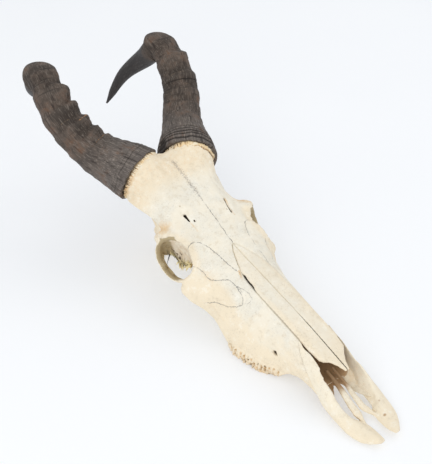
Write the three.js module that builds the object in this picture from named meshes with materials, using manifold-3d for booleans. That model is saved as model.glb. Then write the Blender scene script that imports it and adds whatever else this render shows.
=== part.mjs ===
// Skull of a hartebeest-like antelope with both horns, cleaned, without its lower jaw and teeth.
// Millimetres. +X is the animal's left, the nose points to -Y and +Z is up.
// Seven pieces: the skull, two nasal bones, two premaxillae and two horn sheaths on bony cores.
// They are modelled with y = 0 on the midline between the fronts of the horns, and the whole
// group then moves along Y, so that its origin lies under the middle of its outline.
import * as THREE from "three";
import { LoftGeometry } from "three/addons/geometries/LoftGeometry.js";
import { mergeVertices } from "three/addons/utils/BufferGeometryUtils.js";
import Module from "manifold-3d";

// ---- Driving dimensions ------------------------------------------------------------------

const SEAM = 0.3; // open gap along the sutures round the nasals and premaxillae
const NOSE_END = -332; // foremost section of the face, past the nasal tips
const SKULL_END = 46; // rearmost section, behind the horn cores
const SECTIONS = 25; // sections along the head
const BETWEEN_GUIDES = 2; // steps from one guide line to the next round a section

// Guide lines of the left half of the head, as [y, x, z]. A section at any y joins them in order,
// from the midline of the roof, round the side, to the midline of the palate and skull base.
const ROOF_MIDLINE = [
  [-332, 0, 50.5], [-259, 0, 69.2], [-190, 0, 83], [-128, 0, 95.6], [-103, 0, 106.5],
  [-78, 0, 117.4], [-28, 0, 136.5], [0, 0, 146], [12, 0, 149], [26, 0, 140], [38, 0, 122],
  [46, 0, 108],
];
const ROOF_SLOPE = [
  [-332, 7, 49.5], [-300, 11, 58], [-259, 12, 68.6], [-197, 14, 80.6], [-128, 22, 94.6],
  [-100, 28, 105], [-60, 28, 122.5], [-28, 31, 135.5], [-6, 33, 147], [8, 35, 154],
  [20, 30, 149], [36, 18, 126], [46, 9, 106],
];
const BROW = [
  [-332, 12, 46], [-310, 17, 53.5], [-291, 19.5, 60], [-259, 20.5, 67], [-222, 21.5, 74.5],
  [-197, 25, 76.5], [-177, 30, 77.5], [-162, 34, 79], [-144, 40, 81], [-128, 46, 83],
  [-120, 49, 84], [-113, 49.5, 88.5], [-104, 46.5, 93], [-90, 49.5, 96.5], [-82, 55, 96.5],
  [-75, 61, 95.5], [-66, 59, 97], [-56, 55.5, 98.5], [-46, 55, 101], [-36, 57, 104],
  [-14, 63, 109], [2, 66, 112], [12, 60, 116], [26, 42, 118], [38, 28, 112], [46, 16, 102],
];
const CHEEK_TOP = [
  [-332, 15, 40], [-310, 20, 46], [-291, 24.5, 52], [-259, 27, 53], [-222, 31, 57],
  [-197, 36, 57], [-177, 42, 59], [-162, 46, 62], [-144, 50, 67], [-128, 56, 72],
  [-122, 57, 73], [-114, 46, 84], [-104, 42, 88.5], [-90, 44, 92], [-75, 54, 91.5],
  [-62, 50, 93], [-40, 49, 98], [-14, 55, 102], [2, 56, 104], [20, 44, 104], [46, 16, 96],
];
const ORBIT_WALL = [
  [-332, 15, 36], [-310, 24, 37], [-291, 28, 42], [-259, 30, 42], [-222, 39, 41],
  [-197, 44, 41], [-177, 49, 43], [-162, 52, 49], [-144, 57, 54], [-128, 66, 60],
  [-122, 66, 62], [-113, 42, 75], [-98, 33, 78], [-75, 31, 81], [-60, 35, 84],
  [-20, 39, 86], [0, 37, 86], [20, 33, 88], [36, 25, 90], [46, 15, 88],
];
const CHEEK_BOTTOM = [
  [-332, 14, 30], [-310, 27, 27], [-291, 29, 31], [-259, 33, 31], [-222, 45, 25],
  [-197, 49, 25], [-177, 51, 27], [-162, 53, 37], [-144, 60, 43], [-128, 69, 50],
  [-119, 70, 52], [-109, 52, 50], [-98, 25, 58], [-86, 22, 62], [-75, 24, 65],
  [-62, 31, 67], [-48, 36, 66], [-20, 35.5, 66], [0, 31, 68], [20, 25, 72], [36, 20, 76],
  [46, 12, 80],
];
const LOWER_EDGE = [
  [-332, 13, 26], [-322, 26, 13], [-310, 27, 17], [-291, 27.5, 19.5], [-276, 29, 18],
  [-264, 30, 3], [-256, 35, 0.5], [-247, 41, 0], [-238, 45.5, 0], [-228, 48, 0], [-212, 51, 0],
  [-200, 51.5, 1], [-190, 51, 6], [-177, 51, 16], [-162, 52, 28], [-144, 58, 34],
  [-128, 66, 40], [-119, 65, 42], [-109, 46, 43], [-98, 19, 46], [-75, 18, 49],
  [-52, 28, 48], [-36, 33, 47], [-20, 33, 47], [0, 22, 49],
  [20, 16, 52], [36, 12, 62], [46, 8, 74],
];
const INNER_EDGE = [
  [-332, 9, 23], [-322, 23, 13], [-310, 24, 16], [-291, 24, 17], [-276, 24, 16],
  [-264, 25, 3], [-256, 26, 0.5], [-247, 29, 0], [-228, 34, 0], [-212, 36.5, 0],
  [-200, 37, 1], [-190, 37, 6], [-177, 37, 15], [-162, 35, 24], [-144, 36, 31],
  [-128, 40, 38], [-119, 38, 39], [-109, 30, 40], [-98, 15, 37], [-75, 13, 38],
  [-52, 19, 38], [-36, 24, 38], [-20, 25, 39], [0, 18, 40], [20, 12, 42], [36, 8, 56], [46, 5, 71],
];
const PTERYGOID = [
  [-332, 5, 22], [-310, 15, 18], [-291, 17, 19], [-262, 21, 15], [-235, 27, 14],
  [-200, 29, 15], [-180, 20, 20], [-168, 15.5, 15], [-150, 13.5, 16], [-132, 12.5, 21],
  [-115, 11, 29], [-98, 9, 35], [-75, 7, 36.5], [-52, 9, 34], [-20, 11, 34], [0, 9, 36],
  [20, 6, 38], [36, 4, 52], [46, 3, 70],
];
const BASE_MIDLINE = [
  [-332, 0, 22], [-310, 0, 20], [-262, 0, 19], [-235, 0, 21], [-200, 0, 23], [-180, 0, 25],
  [-168, 0, 34], [-150, 0, 37], [-120, 0, 38], [-75, 0, 38], [-20, 0, 33], [0, 0, 35],
  [20, 0, 38], [36, 0, 50], [46, 0, 68],
];
const HEAD_GUIDES = [
  ROOF_MIDLINE, ROOF_SLOPE, BROW, CHEEK_TOP, ORBIT_WALL, CHEEK_BOTTOM, LOWER_EDGE, INNER_EDGE,
  PTERYGOID, BASE_MIDLINE,
];

// The air passage inside the snout, about 3.5 mm inside the bone, open at the nose.
const CAVITY_START = -345;
const CAVITY_END = -150;
const CAVITY_GUIDES = [
  [[-345, 0, 47], [-328, 0, 47.5], [-259, 0, 65.4], [-150, 0, 86.5]],
  [[-345, 9, 46.5], [-300, 10, 54.6], [-259, 12, 65], [-197, 13, 77], [-150, 12, 85.5]],
  [[-345, 17, 40], [-300, 17, 50.5], [-259, 18.5, 61], [-197, 20, 71], [-150, 20, 79]],
  [[-345, 21, 34], [-300, 22, 42], [-259, 25, 47], [-197, 34, 52], [-150, 28, 64]],
  [[-345, 23, 28], [-300, 24, 31], [-259, 28, 33], [-197, 41, 34], [-150, 27, 50]],
  [[-345, 19, 22], [-300, 20, 23], [-259, 24, 24], [-197, 36, 26], [-150, 18, 43]],
  [[-345, 0, 21], [-300, 0, 23.5], [-259, 0, 24], [-197, 0, 28], [-150, 0, 42]],
];

// Plan outline of a left nasal bone, as [x, y], from its rear point to its tip.
const NASAL_OUTLINE = [
  [0, -127.8], [7, -139], [12.5, -153], [18, -168], [20.5, -182], [21, -222], [20.6, -262],
  [20.2, -290], [18.5, -303], [11, -311.5], [6, -319], [2.6, -328.5], [0, -328.5],
];
const NASAL_THICKNESS = 6; // at most, along Z; the air passage thins it to about 4

// Side outline of the suture between maxilla and premaxilla, as [y, z], from its top downwards.
const PREMAXILLA_SUTURE = [
  [-264, 72], [-271, 66], [-280, 53], [-289, 43], [-301, 31], [-315, 20], [-327, 8], [-330, -2],
];
const PREMAXILLA_TOP = -266;
const PREMAXILLA_TIP = -397;
// What is open at the nose between the maxillae, as a side outline [y, z].
const NOSE_OPENING = [[-360, -5], [-316, -5], [-316, 22], [-303, 25], [-301, 90], [-360, 90]];
const NOSE_OPENING_HALF_WIDTH = 22;
// Guide lines round a left premaxilla: crest, outer face, outer edge, underside, inner edge and
// inner face.
const PREMAXILLA_GUIDES = [
  [
    [-397, 9.5, 11], [-378, 14, 11.5], [-362, 18, 13], [-346, 22.3, 19], [-336, 24, 29],
    [-324, 24.3, 38.5], [-314, 22.5, 44], [-303, 21.6, 54], [-285, 22.2, 59.5], [-266, 22, 66.5],
  ],
  [
    [-397, 12.5, 10], [-390, 18.5, 9], [-378, 25, 8.5], [-362, 29, 10], [-345, 30, 16],
    [-330, 29.6, 24], [-318, 29, 32], [-303, 27, 42], [-285, 26.3, 50], [-266, 24.2, 60],
  ],
  [
    [-397, 12.5, 7.5], [-390, 19, 3.5], [-378, 25.5, 1], [-362, 28.5, 2], [-345, 29, 5.5],
    [-330, 28.8, 9], [-318, 28.6, 15], [-303, 28.4, 26], [-285, 28, 38], [-266, 25, 52],
  ],
  [
    [-397, 8, 7.5], [-390, 10, 3.5], [-378, 14, 1], [-362, 19, 0.6], [-345, 22, 2.5],
    [-330, 23.5, 7], [-318, 25, 14], [-303, 25.5, 26], [-285, 25.3, 38], [-266, 22.5, 52],
  ],
  [
    [-397, 6.5, 8.5], [-390, 5, 6], [-378, 3.6, 4], [-366, 5.2, 3.5], [-358, 14, 4.5],
    [-345, 16, 6], [-330, 19.5, 10], [-318, 24, 20], [-303, 24.4, 30], [-285, 23.5, 42],
    [-266, 21.5, 56],
  ],
  [
    [-397, 7, 10.3], [-390, 5.5, 8.8], [-378, 4.4, 7.5], [-366, 6, 7], [-358, 15, 8],
    [-345, 17.6, 10], [-330, 21, 17], [-318, 23, 31], [-303, 22.2, 42], [-285, 22, 50],
    [-266, 21.2, 60],
  ],
];
// Palatine process of a left premaxilla: a slim rod beside the midline.
const PALATINE_PROCESS = [
  [2.7, -302, 29], [2.7, -322, 22.5], [3, -345, 12.5], [4.4, -362, 7], [8, -374, 5],
];
const PALATINE_HALF_WIDTH = 1.9;
const PALATINE_HALF_HEIGHT = 2.6;

// Orbit rim: a closed ring round the left orbit, with the ring's own axis.
const ORBIT_RIM = [
  [60, -77, 95], [52, -87, 96], [47.5, -103, 92.5], [50, -115, 86.5], [52.5, -123.5, 79],
  [58, -125, 69], [65, -118, 59.5], [68, -106, 54], [70, -92, 55], [72, -79, 64],
  [71.5, -71, 77], [68, -71, 88],
];
const ORBIT_CENTRE = new THREE.Vector3(61, -97, 74);
const ORBIT_AXIS = new THREE.Vector3(0.86, -0.27, 0.43).normalize();
const RIM_HALF_THICKNESS = 2.2;
const RIM_HALF_DEPTH = 5.5;
// The front of the orbit is a bowl cut into the face.
const ORBIT_BOWL = { at: [53, -103, 72], radii: [24, 20.5, 17] };

// Zygomatic arch, from the back of the orbit rim to the side of the braincase, as [x, y, z].
const ZYGOMATIC_ARCH = [[68.5, -84, 61], [60.5, -66, 57], [50, -48, 56], [41, -34, 58], [32, -22, 61]];
const ARCH_HALF_WIDTH = 2.4;
const ARCH_HALF_HEIGHT = 4.6;

// Small parts of the skull base, left side.
const PAROCCIPITAL = [[19, 1, 46], [20, -2, 28], [20, -4, 12], [19.5, -5, -2]];
const CONDYLE = { at: [11, 12, 33], radii: [7, 9, 9] };
const BULLA = { at: [21, -27, 34], radii: [9, 13, 10] };
const FORAMEN_MAGNUM = { at: [0, 30, 44], radii: [9, 24, 8] };
const CHOANA = [[0, -188, 50], [0, -165, 41], [0, -140, 26], [0, -128, 14]];
const CHOANA_HALF_WIDTH = 9.5;
const CHOANA_HALF_HEIGHT = 9;

// Nerve and vessel holes, left side, as small ellipsoids sunk in the bone.
const HOLES = [
  { at: [27, -69, 116], radii: [1.4, 5, 6] },
  { at: [20, -80, 111], radii: [1.3, 1.3, 6] },
  { at: [34, -250, 30], radii: [6, 2.4, 2] },
];

// Empty tooth sockets along an alveolar ridge: three premolars, then three molars.
const SOCKETS = [
  { y: -256, x: 30.5, long: 6, wide: 4.5 }, { y: -247.5, x: 34.5, long: 7.5, wide: 6 },
  { y: -238.5, x: 38.5, long: 7.5, wide: 8 }, { y: -229, x: 40.8, long: 8.5, wide: 9 },
  { y: -218.5, x: 42.8, long: 9.5, wide: 9.5 }, { y: -207.5, x: 44, long: 9.5, wide: 9 },
];
const SOCKET_DEPTH = 9;

// Left horn: centre line from the rim of its sheath to its tip.
const HORN_LINE = [
  [38, 19, 129], [68.4, 73.3, 146.9], [90.2, 111, 184.3], [91.1, 155.5, 220.6],
  [85.1, 188.6, 193.6], [60.6, 211.4, 162.6], [34, 216.6, 123.5],
];
const HORN_RADIUS = [
  [0, 36.5], [0.04, 35], [0.12, 30], [0.22, 26], [0.4, 23], [0.52, 20], [0.6, 19],
  [0.7, 14.5], [0.82, 10], [0.94, 5.5], [1, 1.2],
];
// The base is wider across the head than along it: extra radius across, taken off the other way.
const HORN_SPREAD = [[0, 3.5], [0.06, 2.5], [0.15, 0], [1, 0]];
const HORN_SIDES = 16;
const SMOOTH_STEP = 0.045; // between sections past the last ring, as a share of the length
// Raised rings: place along the horn, height in mm and half-length, strongest on its front.
const HORN_KNOBS = [
  [0.06, 0.7, 0.01], [0.1, 1, 0.01], [0.14, 1.4, 0.012], [0.19, 2.2, 0.014], [0.255, 3, 0.018],
  [0.325, 3.6, 0.02], [0.4, 4, 0.022], [0.485, 4.8, 0.024], [0.6, 3.4, 0.035],
];
const KNOB_FRONT = new THREE.Vector3(-0.62, -0.55, 0.56).normalize();

// Bony core inside each sheath and the open space round it.
const CORE_SIDES = 16;
const CORE_BELOW = 12; // how far the core reaches back into the frontal bone
const CORE_DEPTH = 42; // how far it reaches into the sheath
const HORN_SOCKET_DEPTH = 46; // how far the hollow in the sheath reaches past its rim
const SOCKET_OVERRUN = 3; // and how far its cutter starts before it
const CORE_RADII = [33, 31, 25]; // at its foot, at the rim of the sheath and at its end
// Flare of the frontal bone that rises to the rim of each sheath, as [x, y, z], and its radii.
const PEDICLE = [[15, -50, 92], [22, -28, 106], [30, -4, 118.5], [36, 14, 127]];
const PEDICLE_RADII = [25, 33];
const SHEATH_GAP = 1.6; // between core and sheath
const CLEARANCE_STATIONS = [0, 0.03, 0.08, 0.15, 0.22];
const RIM_CLEARANCE = 0.9; // between the sheath and the bone around it

const BONE = new THREE.MeshStandardMaterial({ color: 0xe6dcc3, roughness: 0.75, metalness: 0 });
const NASAL_BONE = new THREE.MeshStandardMaterial({ color: 0xded6bf, roughness: 0.72, metalness: 0 });
const JAW_BONE = new THREE.MeshStandardMaterial({ color: 0xe2d3ae, roughness: 0.75, metalness: 0 });
const HORN = new THREE.MeshStandardMaterial({ color: 0x3b332f, roughness: 0.6, metalness: 0 });

// ---- Tools -------------------------------------------------------------------------------

const wasm = await Module();
wasm.setup();

const vector = (point) => new THREE.Vector3(...point);

function solidOf(geometry) {
  const bare = new THREE.BufferGeometry().copy(geometry);
  bare.deleteAttribute("normal");
  bare.deleteAttribute("uv");
  const merged = mergeVertices(bare, 1e-4);
  return new wasm.Manifold(new wasm.Mesh({
    numProp: 3,
    vertProperties: new Float32Array(merged.attributes.position.array),
    triVerts: new Uint32Array(merged.index.array),
  }));
}

function geometryOf(solid) {
  const mesh = solid.getMesh();
  const geometry = new THREE.BufferGeometry();
  geometry.setAttribute("position", new THREE.BufferAttribute(mesh.vertProperties, mesh.numProp));
  geometry.setIndex(new THREE.BufferAttribute(mesh.triVerts, 1));
  return geometry;
}

// Smooth value at t through [t, value, ...] rows, never overshooting by much between close rows.
function along(rows, t) {
  const last = rows.length - 1;
  if (t <= rows[0][0]) return rows[0].slice(1);
  if (t >= rows[last][0]) return rows[last].slice(1);
  const i = rows.findIndex((row) => row[0] > t) - 1;
  const [a, b, c, d] = [rows[Math.max(i - 1, 0)], rows[i], rows[i + 1], rows[Math.min(i + 2, last)]];
  const span = c[0] - b[0];
  const f = (t - b[0]) / span;
  return b.slice(1).map((_, k) => {
    const slope = (p, q) => (q[0] > p[0] ? (q[k + 1] - p[k + 1]) / (q[0] - p[0]) : 0);
    const [before, middle, after] = [slope(a, b), slope(b, c), slope(c, d)];
    const soft = (p, q) => (p * q > 0 ? (2 * p * q) / (p + q) : 0);
    const start = (i > 0 ? soft(before, middle) : middle) * span;
    const end = (i + 2 <= last ? soft(middle, after) : middle) * span;
    const [p0, p1] = [b[k + 1], c[k + 1]];
    const f2 = f * f;
    const f3 = f2 * f;
    return (2 * f3 - 3 * f2 + 1) * p0 + (f3 - 2 * f2 + f) * start
      + (3 * f2 - 2 * f3) * p1 + (f3 - f2) * end;
  });
}

// Points of one section through the guide lines; a half section is mirrored to a whole one.
function section(guides, y, whole) {
  const corners = guides.map((rows) => new THREE.Vector2(...along(rows, y)));
  const closed = whole ? corners : [...corners, corners[0]];
  const curve = new THREE.SplineCurve(closed);
  const points = curve.getPoints((closed.length - 1) * BETWEEN_GUIDES);
  const half = points.map((p) => new THREE.Vector3(Math.max(p.x, 0), y, p.y));
  if (!whole) return points.slice(0, -1).map((p) => new THREE.Vector3(p.x, y, p.y));
  half[0].x = 0;
  half[half.length - 1].x = 0;
  const other = half.slice(1, -1).reverse().map((p) => new THREE.Vector3(-p.x, y, p.z));
  return [...half, ...other];
}

function loft(sections) {
  const solid = solidOf(new LoftGeometry(sections, { capStart: true, capEnd: true }));
  if (solid.volume() > 0) return solid;
  const turned = sections.map((points) => [...points].reverse());
  return solidOf(new LoftGeometry(turned, { capStart: true, capEnd: true }));
}

function headLoft(guides, from, to, steps, whole = true) {
  const sections = [];
  for (let i = 0; i <= steps; i++) {
    sections.push(section(guides, from + ((to - from) * i) / steps, whole));
  }
  return loft(sections);
}

// An elliptic rod along a path; its radii are given across (level) and upright.
function rod(path, across, upright, steps = 12, sides = 12) {
  const curve = new THREE.CatmullRomCurve3(path.map(vector));
  const sections = [];
  for (let i = 0; i <= steps; i++) {
    const t = i / steps;
    const tangent = curve.getTangent(t);
    const level = new THREE.Vector3(0, 0, 1).cross(tangent);
    if (level.length() < 0.1) level.set(1, 0, 0);
    level.normalize();
    const up = tangent.clone().cross(level).normalize();
    const at = curve.getPoint(t);
    const pick = (radius) => (typeof radius === "function" ? radius(t) : radius);
    sections.push(ringOf(at, level, up, pick(across), pick(upright), sides));
  }
  return loft(sections);
}

function ringOf(at, axisA, axisB, radiusA, radiusB, sides) {
  const points = [];
  for (let k = 0; k < sides; k++) {
    const angle = (2 * Math.PI * k) / sides;
    points.push(at.clone()
      .addScaledVector(axisA, radiusA * Math.cos(angle))
      .addScaledVector(axisB, radiusB * Math.sin(angle)));
  }
  return points;
}

function ellipsoid({ at, radii }, detail = 10) {
  const sphere = new THREE.SphereGeometry(1, detail * 2, detail);
  sphere.scale(...radii);
  sphere.translate(...at);
  return solidOf(sphere);
}

// Turns X into Y, Y into Z and Z into X.
const UPRIGHT = new THREE.Matrix4().makeBasis(
  new THREE.Vector3(0, 1, 0), new THREE.Vector3(0, 0, 1), new THREE.Vector3(1, 0, 0));

// A flat outline made a prism along Z, or along X when it lies in the YZ plane.
function prism(outline, from, to, alongX = false) {
  const shape = new THREE.Shape(outline.map(([a, b]) => new THREE.Vector2(a, b)));
  const geometry = new THREE.ExtrudeGeometry(shape, { depth: to - from, bevelEnabled: false });
  geometry.translate(0, 0, from);
  if (alongX) geometry.applyMatrix4(UPRIGHT);
  return solidOf(geometry);
}

// The same solid on the other side of the midline.
function mirrored(solid) {
  const geometry = geometryOf(solid).scale(-1, 1, 1);
  const corners = geometry.index.array;
  for (let i = 0; i < corners.length; i += 3) {
    [corners[i], corners[i + 1]] = [corners[i + 1], corners[i]];
  }
  return solidOf(geometry);
}

const bothSides = (solid) => solid.add(mirrored(solid));

// ---- Horns -------------------------------------------------------------------------------

const hornCurve = new THREE.CatmullRomCurve3(HORN_LINE.map(vector));
const FRAME_STEPS = 200;
const hornFrames = hornCurve.computeFrenetFrames(FRAME_STEPS, false);
const hornLength = hornCurve.getLength();

// Sections lie on each ring, half way between rings, and evenly along the smooth end.
function hornStations() {
  const places = HORN_KNOBS.map(([place]) => place);
  const stations = [0];
  places.forEach((place, i) => stations.push((place + (places[i - 1] ?? 0)) / 2, place));
  const last = places[places.length - 1];
  const steps = Math.round((1 - last) / SMOOTH_STEP);
  for (let i = 1; i <= steps; i++) stations.push(last + ((1 - last) * i) / steps);
  return stations;
}

function hornSurface(stations, grow) {
  const sections = [];
  for (const t of stations) {
    const at = hornCurve.getPointAt(t);
    if (t === 0) at.addScaledVector(hornFrames.tangents[0], -grow);
    const [radius] = along(HORN_RADIUS, t);
    const [spread] = along(HORN_SPREAD, t);
    const frame = Math.round(t * FRAME_STEPS);
    const across = new THREE.Vector3(0, 0, 1).cross(hornFrames.tangents[frame]).normalize();
    const points = [];
    for (let k = 0; k < HORN_SIDES; k++) {
      const angle = (2 * Math.PI * k) / HORN_SIDES;
      const out = hornFrames.normals[frame].clone().multiplyScalar(Math.cos(angle))
        .addScaledVector(hornFrames.binormals[frame], Math.sin(angle));
      const front = 0.35 + 0.65 * Math.max(out.dot(KNOB_FRONT), 0);
      const knob = HORN_KNOBS.reduce((sum, [place, height, half]) =>
        sum + height * Math.exp(-(((t - place) / half) ** 2)), 0);
      const oval = spread * (1.6 * out.dot(across) ** 2 - 0.6);
      points.push(at.clone().addScaledVector(out, radius + grow + oval + knob * front));
    }
    sections.push(points);
  }
  return loft(sections);
}

// A straight round plug on the first stretch of the horn's line; its radii are spread evenly.
function corePlug(from, to, radii, grow) {
  const start = hornCurve.getPointAt(0);
  const direction = hornCurve.getTangentAt(0);
  const steps = 4;
  const sections = [];
  for (let i = 0; i <= steps; i++) {
    const distance = from + ((to - from) * i) / steps;
    const at = distance <= 0
      ? start.clone().addScaledVector(direction, distance)
      : hornCurve.getPointAt(distance / hornLength);
    const [radius] = along(radii, distance);
    sections.push(ringOf(at, hornFrames.normals[0], hornFrames.binormals[0],
      radius + grow, radius + grow, CORE_SIDES));
  }
  return loft(sections);
}

const coreRows = [[-CORE_BELOW, CORE_RADII[0]], [0, CORE_RADII[1]], [CORE_DEPTH, CORE_RADII[2]]];
const core = corePlug(-CORE_BELOW, CORE_DEPTH, coreRows, 0);
const socket = corePlug(-SOCKET_OVERRUN, HORN_SOCKET_DEPTH, coreRows, SHEATH_GAP);
const sheath = hornSurface(hornStations(), 0).subtract(socket);
const sheathClearance = hornSurface(CLEARANCE_STATIONS, RIM_CLEARANCE);

// ---- Skull -------------------------------------------------------------------------------

const skin = headLoft(HEAD_GUIDES, NOSE_END, SKULL_END, SECTIONS);
const cavity = headLoft(CAVITY_GUIDES, CAVITY_START, CAVITY_END, 7);

function orbitRing() {
  const curve = new THREE.CatmullRomCurve3(ORBIT_RIM.map(vector), true);
  const steps = 18;
  const sections = [];
  for (let i = 0; i <= steps; i++) {
    const at = curve.getPoint((i % steps) / steps);
    const outward = at.clone().sub(ORBIT_CENTRE);
    outward.addScaledVector(ORBIT_AXIS, -outward.dot(ORBIT_AXIS)).normalize();
    sections.push(ringOf(at.clone().addScaledVector(ORBIT_AXIS, -RIM_HALF_DEPTH + 2),
      outward, ORBIT_AXIS, RIM_HALF_THICKNESS, RIM_HALF_DEPTH, 6));
  }
  const solid = solidOf(new LoftGeometry(sections));
  if (solid.volume() > 0) return solid;
  return solidOf(new LoftGeometry(sections.map((points) => [...points].reverse())));
}

function nasalZone(grow) {
  const plan = NASAL_OUTLINE.map(([x, y]) => (x === 0 ? [-grow, y + 3 * grow] : [x + grow, y]));
  const top = ROOF_MIDLINE.filter(([y]) => y >= NOSE_END && y <= -128);
  const side = [
    ...top.map(([y, , z]) => [y, z - NASAL_THICKNESS - grow]),
    [-120, 97 - NASAL_THICKNESS - grow], [-120, 140], [NOSE_END - 10, 140],
    [NOSE_END - 10, top[0][2] - NASAL_THICKNESS - 3 - grow],
  ];
  return prism(plan, 20, 130).intersect(prism(side, -60, 60, true));
}

function premaxillaZone(grow) {
  const edge = PREMAXILLA_SUTURE.map(([y, z]) => [y + grow, z]);
  return prism([...edge, [-430, -2], [-430, 72]], -1, 60, true);
}

function toothSocket({ x, y, long, wide }) {
  const half = long / 2;
  const lean = 0.8;
  const corners = [[-1, -1], [1, -1], [1, 1], [-1, 1]];
  const ring = (z, scale) => corners.flatMap(([a, b], i) => {
    const [c, d] = corners[(i + 1) % 4];
    return [0.2, 0.8].map((f) => new THREE.Vector3(
      x + ((a + (c - a) * f) * wide * scale) / 2, y + (b + (d - b) * f) * half * scale, z));
  });
  return loft([ring(-1, 1), ring(SOCKET_DEPTH, lean)]);
}

const pedicleRadius = (t) => PEDICLE_RADII[0] + (PEDICLE_RADII[1] - PEDICLE_RADII[0]) * t;
const paroccipital = rod(PAROCCIPITAL, (t) => 5 - 2.2 * t, (t) => 10 - 6 * t, 4, 8);
const orbitRings = bothSides(orbitRing());
const arches = bothSides(rod(ZYGOMATIC_ARCH, ARCH_HALF_WIDTH, ARCH_HALF_HEIGHT, 6, 8));

let skull = skin.subtract(bothSides(ellipsoid(ORBIT_BOWL, 6)));
skull = skull.subtract(cavity).subtract(rod(CHOANA, CHOANA_HALF_WIDTH, CHOANA_HALF_HEIGHT, 4, 10));
skull = skull.add(orbitRings).add(arches).add(bothSides(paroccipital));
skull = skull.add(bothSides(ellipsoid(CONDYLE, 5))).add(bothSides(ellipsoid(BULLA, 5)));
skull = skull.subtract(ellipsoid(FORAMEN_MAGNUM, 5));
skull = skull.add(bothSides(rod(PEDICLE, pedicleRadius, pedicleRadius, 5, 16)));
skull = skull.subtract(bothSides(sheathClearance)).add(bothSides(core));
skull = skull.subtract(bothSides(nasalZone(SEAM))).subtract(bothSides(premaxillaZone(SEAM)));
skull = skull.subtract(prism(NOSE_OPENING, -NOSE_OPENING_HALF_WIDTH, NOSE_OPENING_HALF_WIDTH, true));
skull = skull.subtract(prism([[-300, -20], [100, -20], [100, 0], [-300, 0]], -60, 60, true));
for (const hole of HOLES) skull = skull.subtract(bothSides(ellipsoid(hole, 4)));
for (const tooth of SOCKETS) skull = skull.subtract(bothSides(toothSocket(tooth)));

const nasal = skin.intersect(nasalZone(0)).subtract(cavity)
  .subtract(prism([[-1, -340], [SEAM / 2, -340], [SEAM / 2, -100], [-1, -100]], 0, 150));

const premaxilla = headLoft(PREMAXILLA_GUIDES, PREMAXILLA_TIP, PREMAXILLA_TOP, 16, false)
  .intersect(premaxillaZone(0))
  .add(rod(PALATINE_PROCESS, PALATINE_HALF_WIDTH, PALATINE_HALF_HEIGHT, 7, 6));

// ---- Assembly ----------------------------------------------------------------------------

const group = new THREE.Group();

function place(name, solid, material, side = 1) {
  const mesh = new THREE.Mesh(geometryOf(solid), material);
  mesh.name = name;
  mesh.scale.x = side;
  group.add(mesh);
}

place("skull", skull, BONE);
for (const [name, side] of [["left", 1], ["right", -1]]) {
  place(`nasal_${name}`, nasal, NASAL_BONE, side);
  place(`premaxilla_${name}`, premaxilla, JAW_BONE, side);
  place(`horn_${name}`, sheath, HORN, side);
}

const outline = new THREE.Box3().setFromObject(group);
group.position.y = -(outline.min.y + outline.max.y) / 2;

export default group;
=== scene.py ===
"""A dry antelope skull with both horns: fine bone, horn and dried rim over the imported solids.

Numbers in the tables are millimetres in the head's own frame: +X to the animal's left, the nose
towards -Y, +Z up, and y = 0 on the midline between the fronts of the horns.
"""
import math

import bmesh
import bpy
import numpy as np
from mathutils import Matrix, Vector, noise
from mathutils.bvhtree import BVHTree
from mathutils.kdtree import KDTree


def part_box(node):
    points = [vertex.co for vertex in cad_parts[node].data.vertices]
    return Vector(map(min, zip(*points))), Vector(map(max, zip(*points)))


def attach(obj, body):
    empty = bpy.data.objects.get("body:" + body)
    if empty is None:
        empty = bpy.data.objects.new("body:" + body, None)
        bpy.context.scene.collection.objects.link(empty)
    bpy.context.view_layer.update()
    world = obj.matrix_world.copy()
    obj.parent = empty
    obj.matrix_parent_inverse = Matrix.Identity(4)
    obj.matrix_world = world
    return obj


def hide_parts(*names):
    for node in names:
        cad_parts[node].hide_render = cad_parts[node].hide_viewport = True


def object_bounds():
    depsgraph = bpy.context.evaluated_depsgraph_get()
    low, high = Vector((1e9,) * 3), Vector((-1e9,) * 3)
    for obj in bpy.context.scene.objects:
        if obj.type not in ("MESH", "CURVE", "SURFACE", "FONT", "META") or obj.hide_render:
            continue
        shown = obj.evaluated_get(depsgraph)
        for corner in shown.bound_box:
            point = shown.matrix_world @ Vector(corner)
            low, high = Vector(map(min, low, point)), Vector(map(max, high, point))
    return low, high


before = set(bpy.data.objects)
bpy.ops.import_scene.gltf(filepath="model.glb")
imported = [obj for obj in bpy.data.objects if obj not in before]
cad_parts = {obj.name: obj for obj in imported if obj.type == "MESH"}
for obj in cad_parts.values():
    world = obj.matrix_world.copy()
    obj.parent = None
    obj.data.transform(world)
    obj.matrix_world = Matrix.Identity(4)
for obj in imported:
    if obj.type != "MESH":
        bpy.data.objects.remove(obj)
solid_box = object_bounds()

MM = 0.001
NOSE_TIP_Y = -397.0
HEAD_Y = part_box("premaxilla_left")[0].y / MM - NOSE_TIP_Y  # where the head's own y = 0 lies

# Where the camera stands, and the ways it looks and has to its right.
CAMERA_AT = (-472.904, -687.309, 645.306)
VIEW_IN = np.array([0.503936, 0.630340, -0.590525])
VIEW_RIGHT = np.array([0.79508, -0.60567, 0.03199])


# ---- Camera, light and floor ----------------------------------------------------------------

def to_world(point):
    """A point of the head's frame in metres in the part's frame."""
    x, y, z = point
    return Vector((x, y + HEAD_Y, z)) * MM


def add_object(name, data):
    made = bpy.data.objects.new(name, data)
    bpy.context.scene.collection.objects.link(made)
    return made


def place_camera():
    eye = bpy.data.cameras.new("camera")
    eye.sensor_width = 36
    eye.lens = 59.76
    eye.clip_start = 0.01
    eye.clip_end = 50
    camera = add_object("camera", eye)
    camera.location = to_world(CAMERA_AT)
    right, ahead = Vector(VIEW_RIGHT).normalized(), Vector(VIEW_IN).normalized()
    axes = Matrix((right, right.cross(ahead), -ahead)).transposed()
    camera.rotation_mode = "QUATERNION"
    camera.rotation_quaternion = axes.to_quaternion()
    bpy.context.scene.camera = camera


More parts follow.
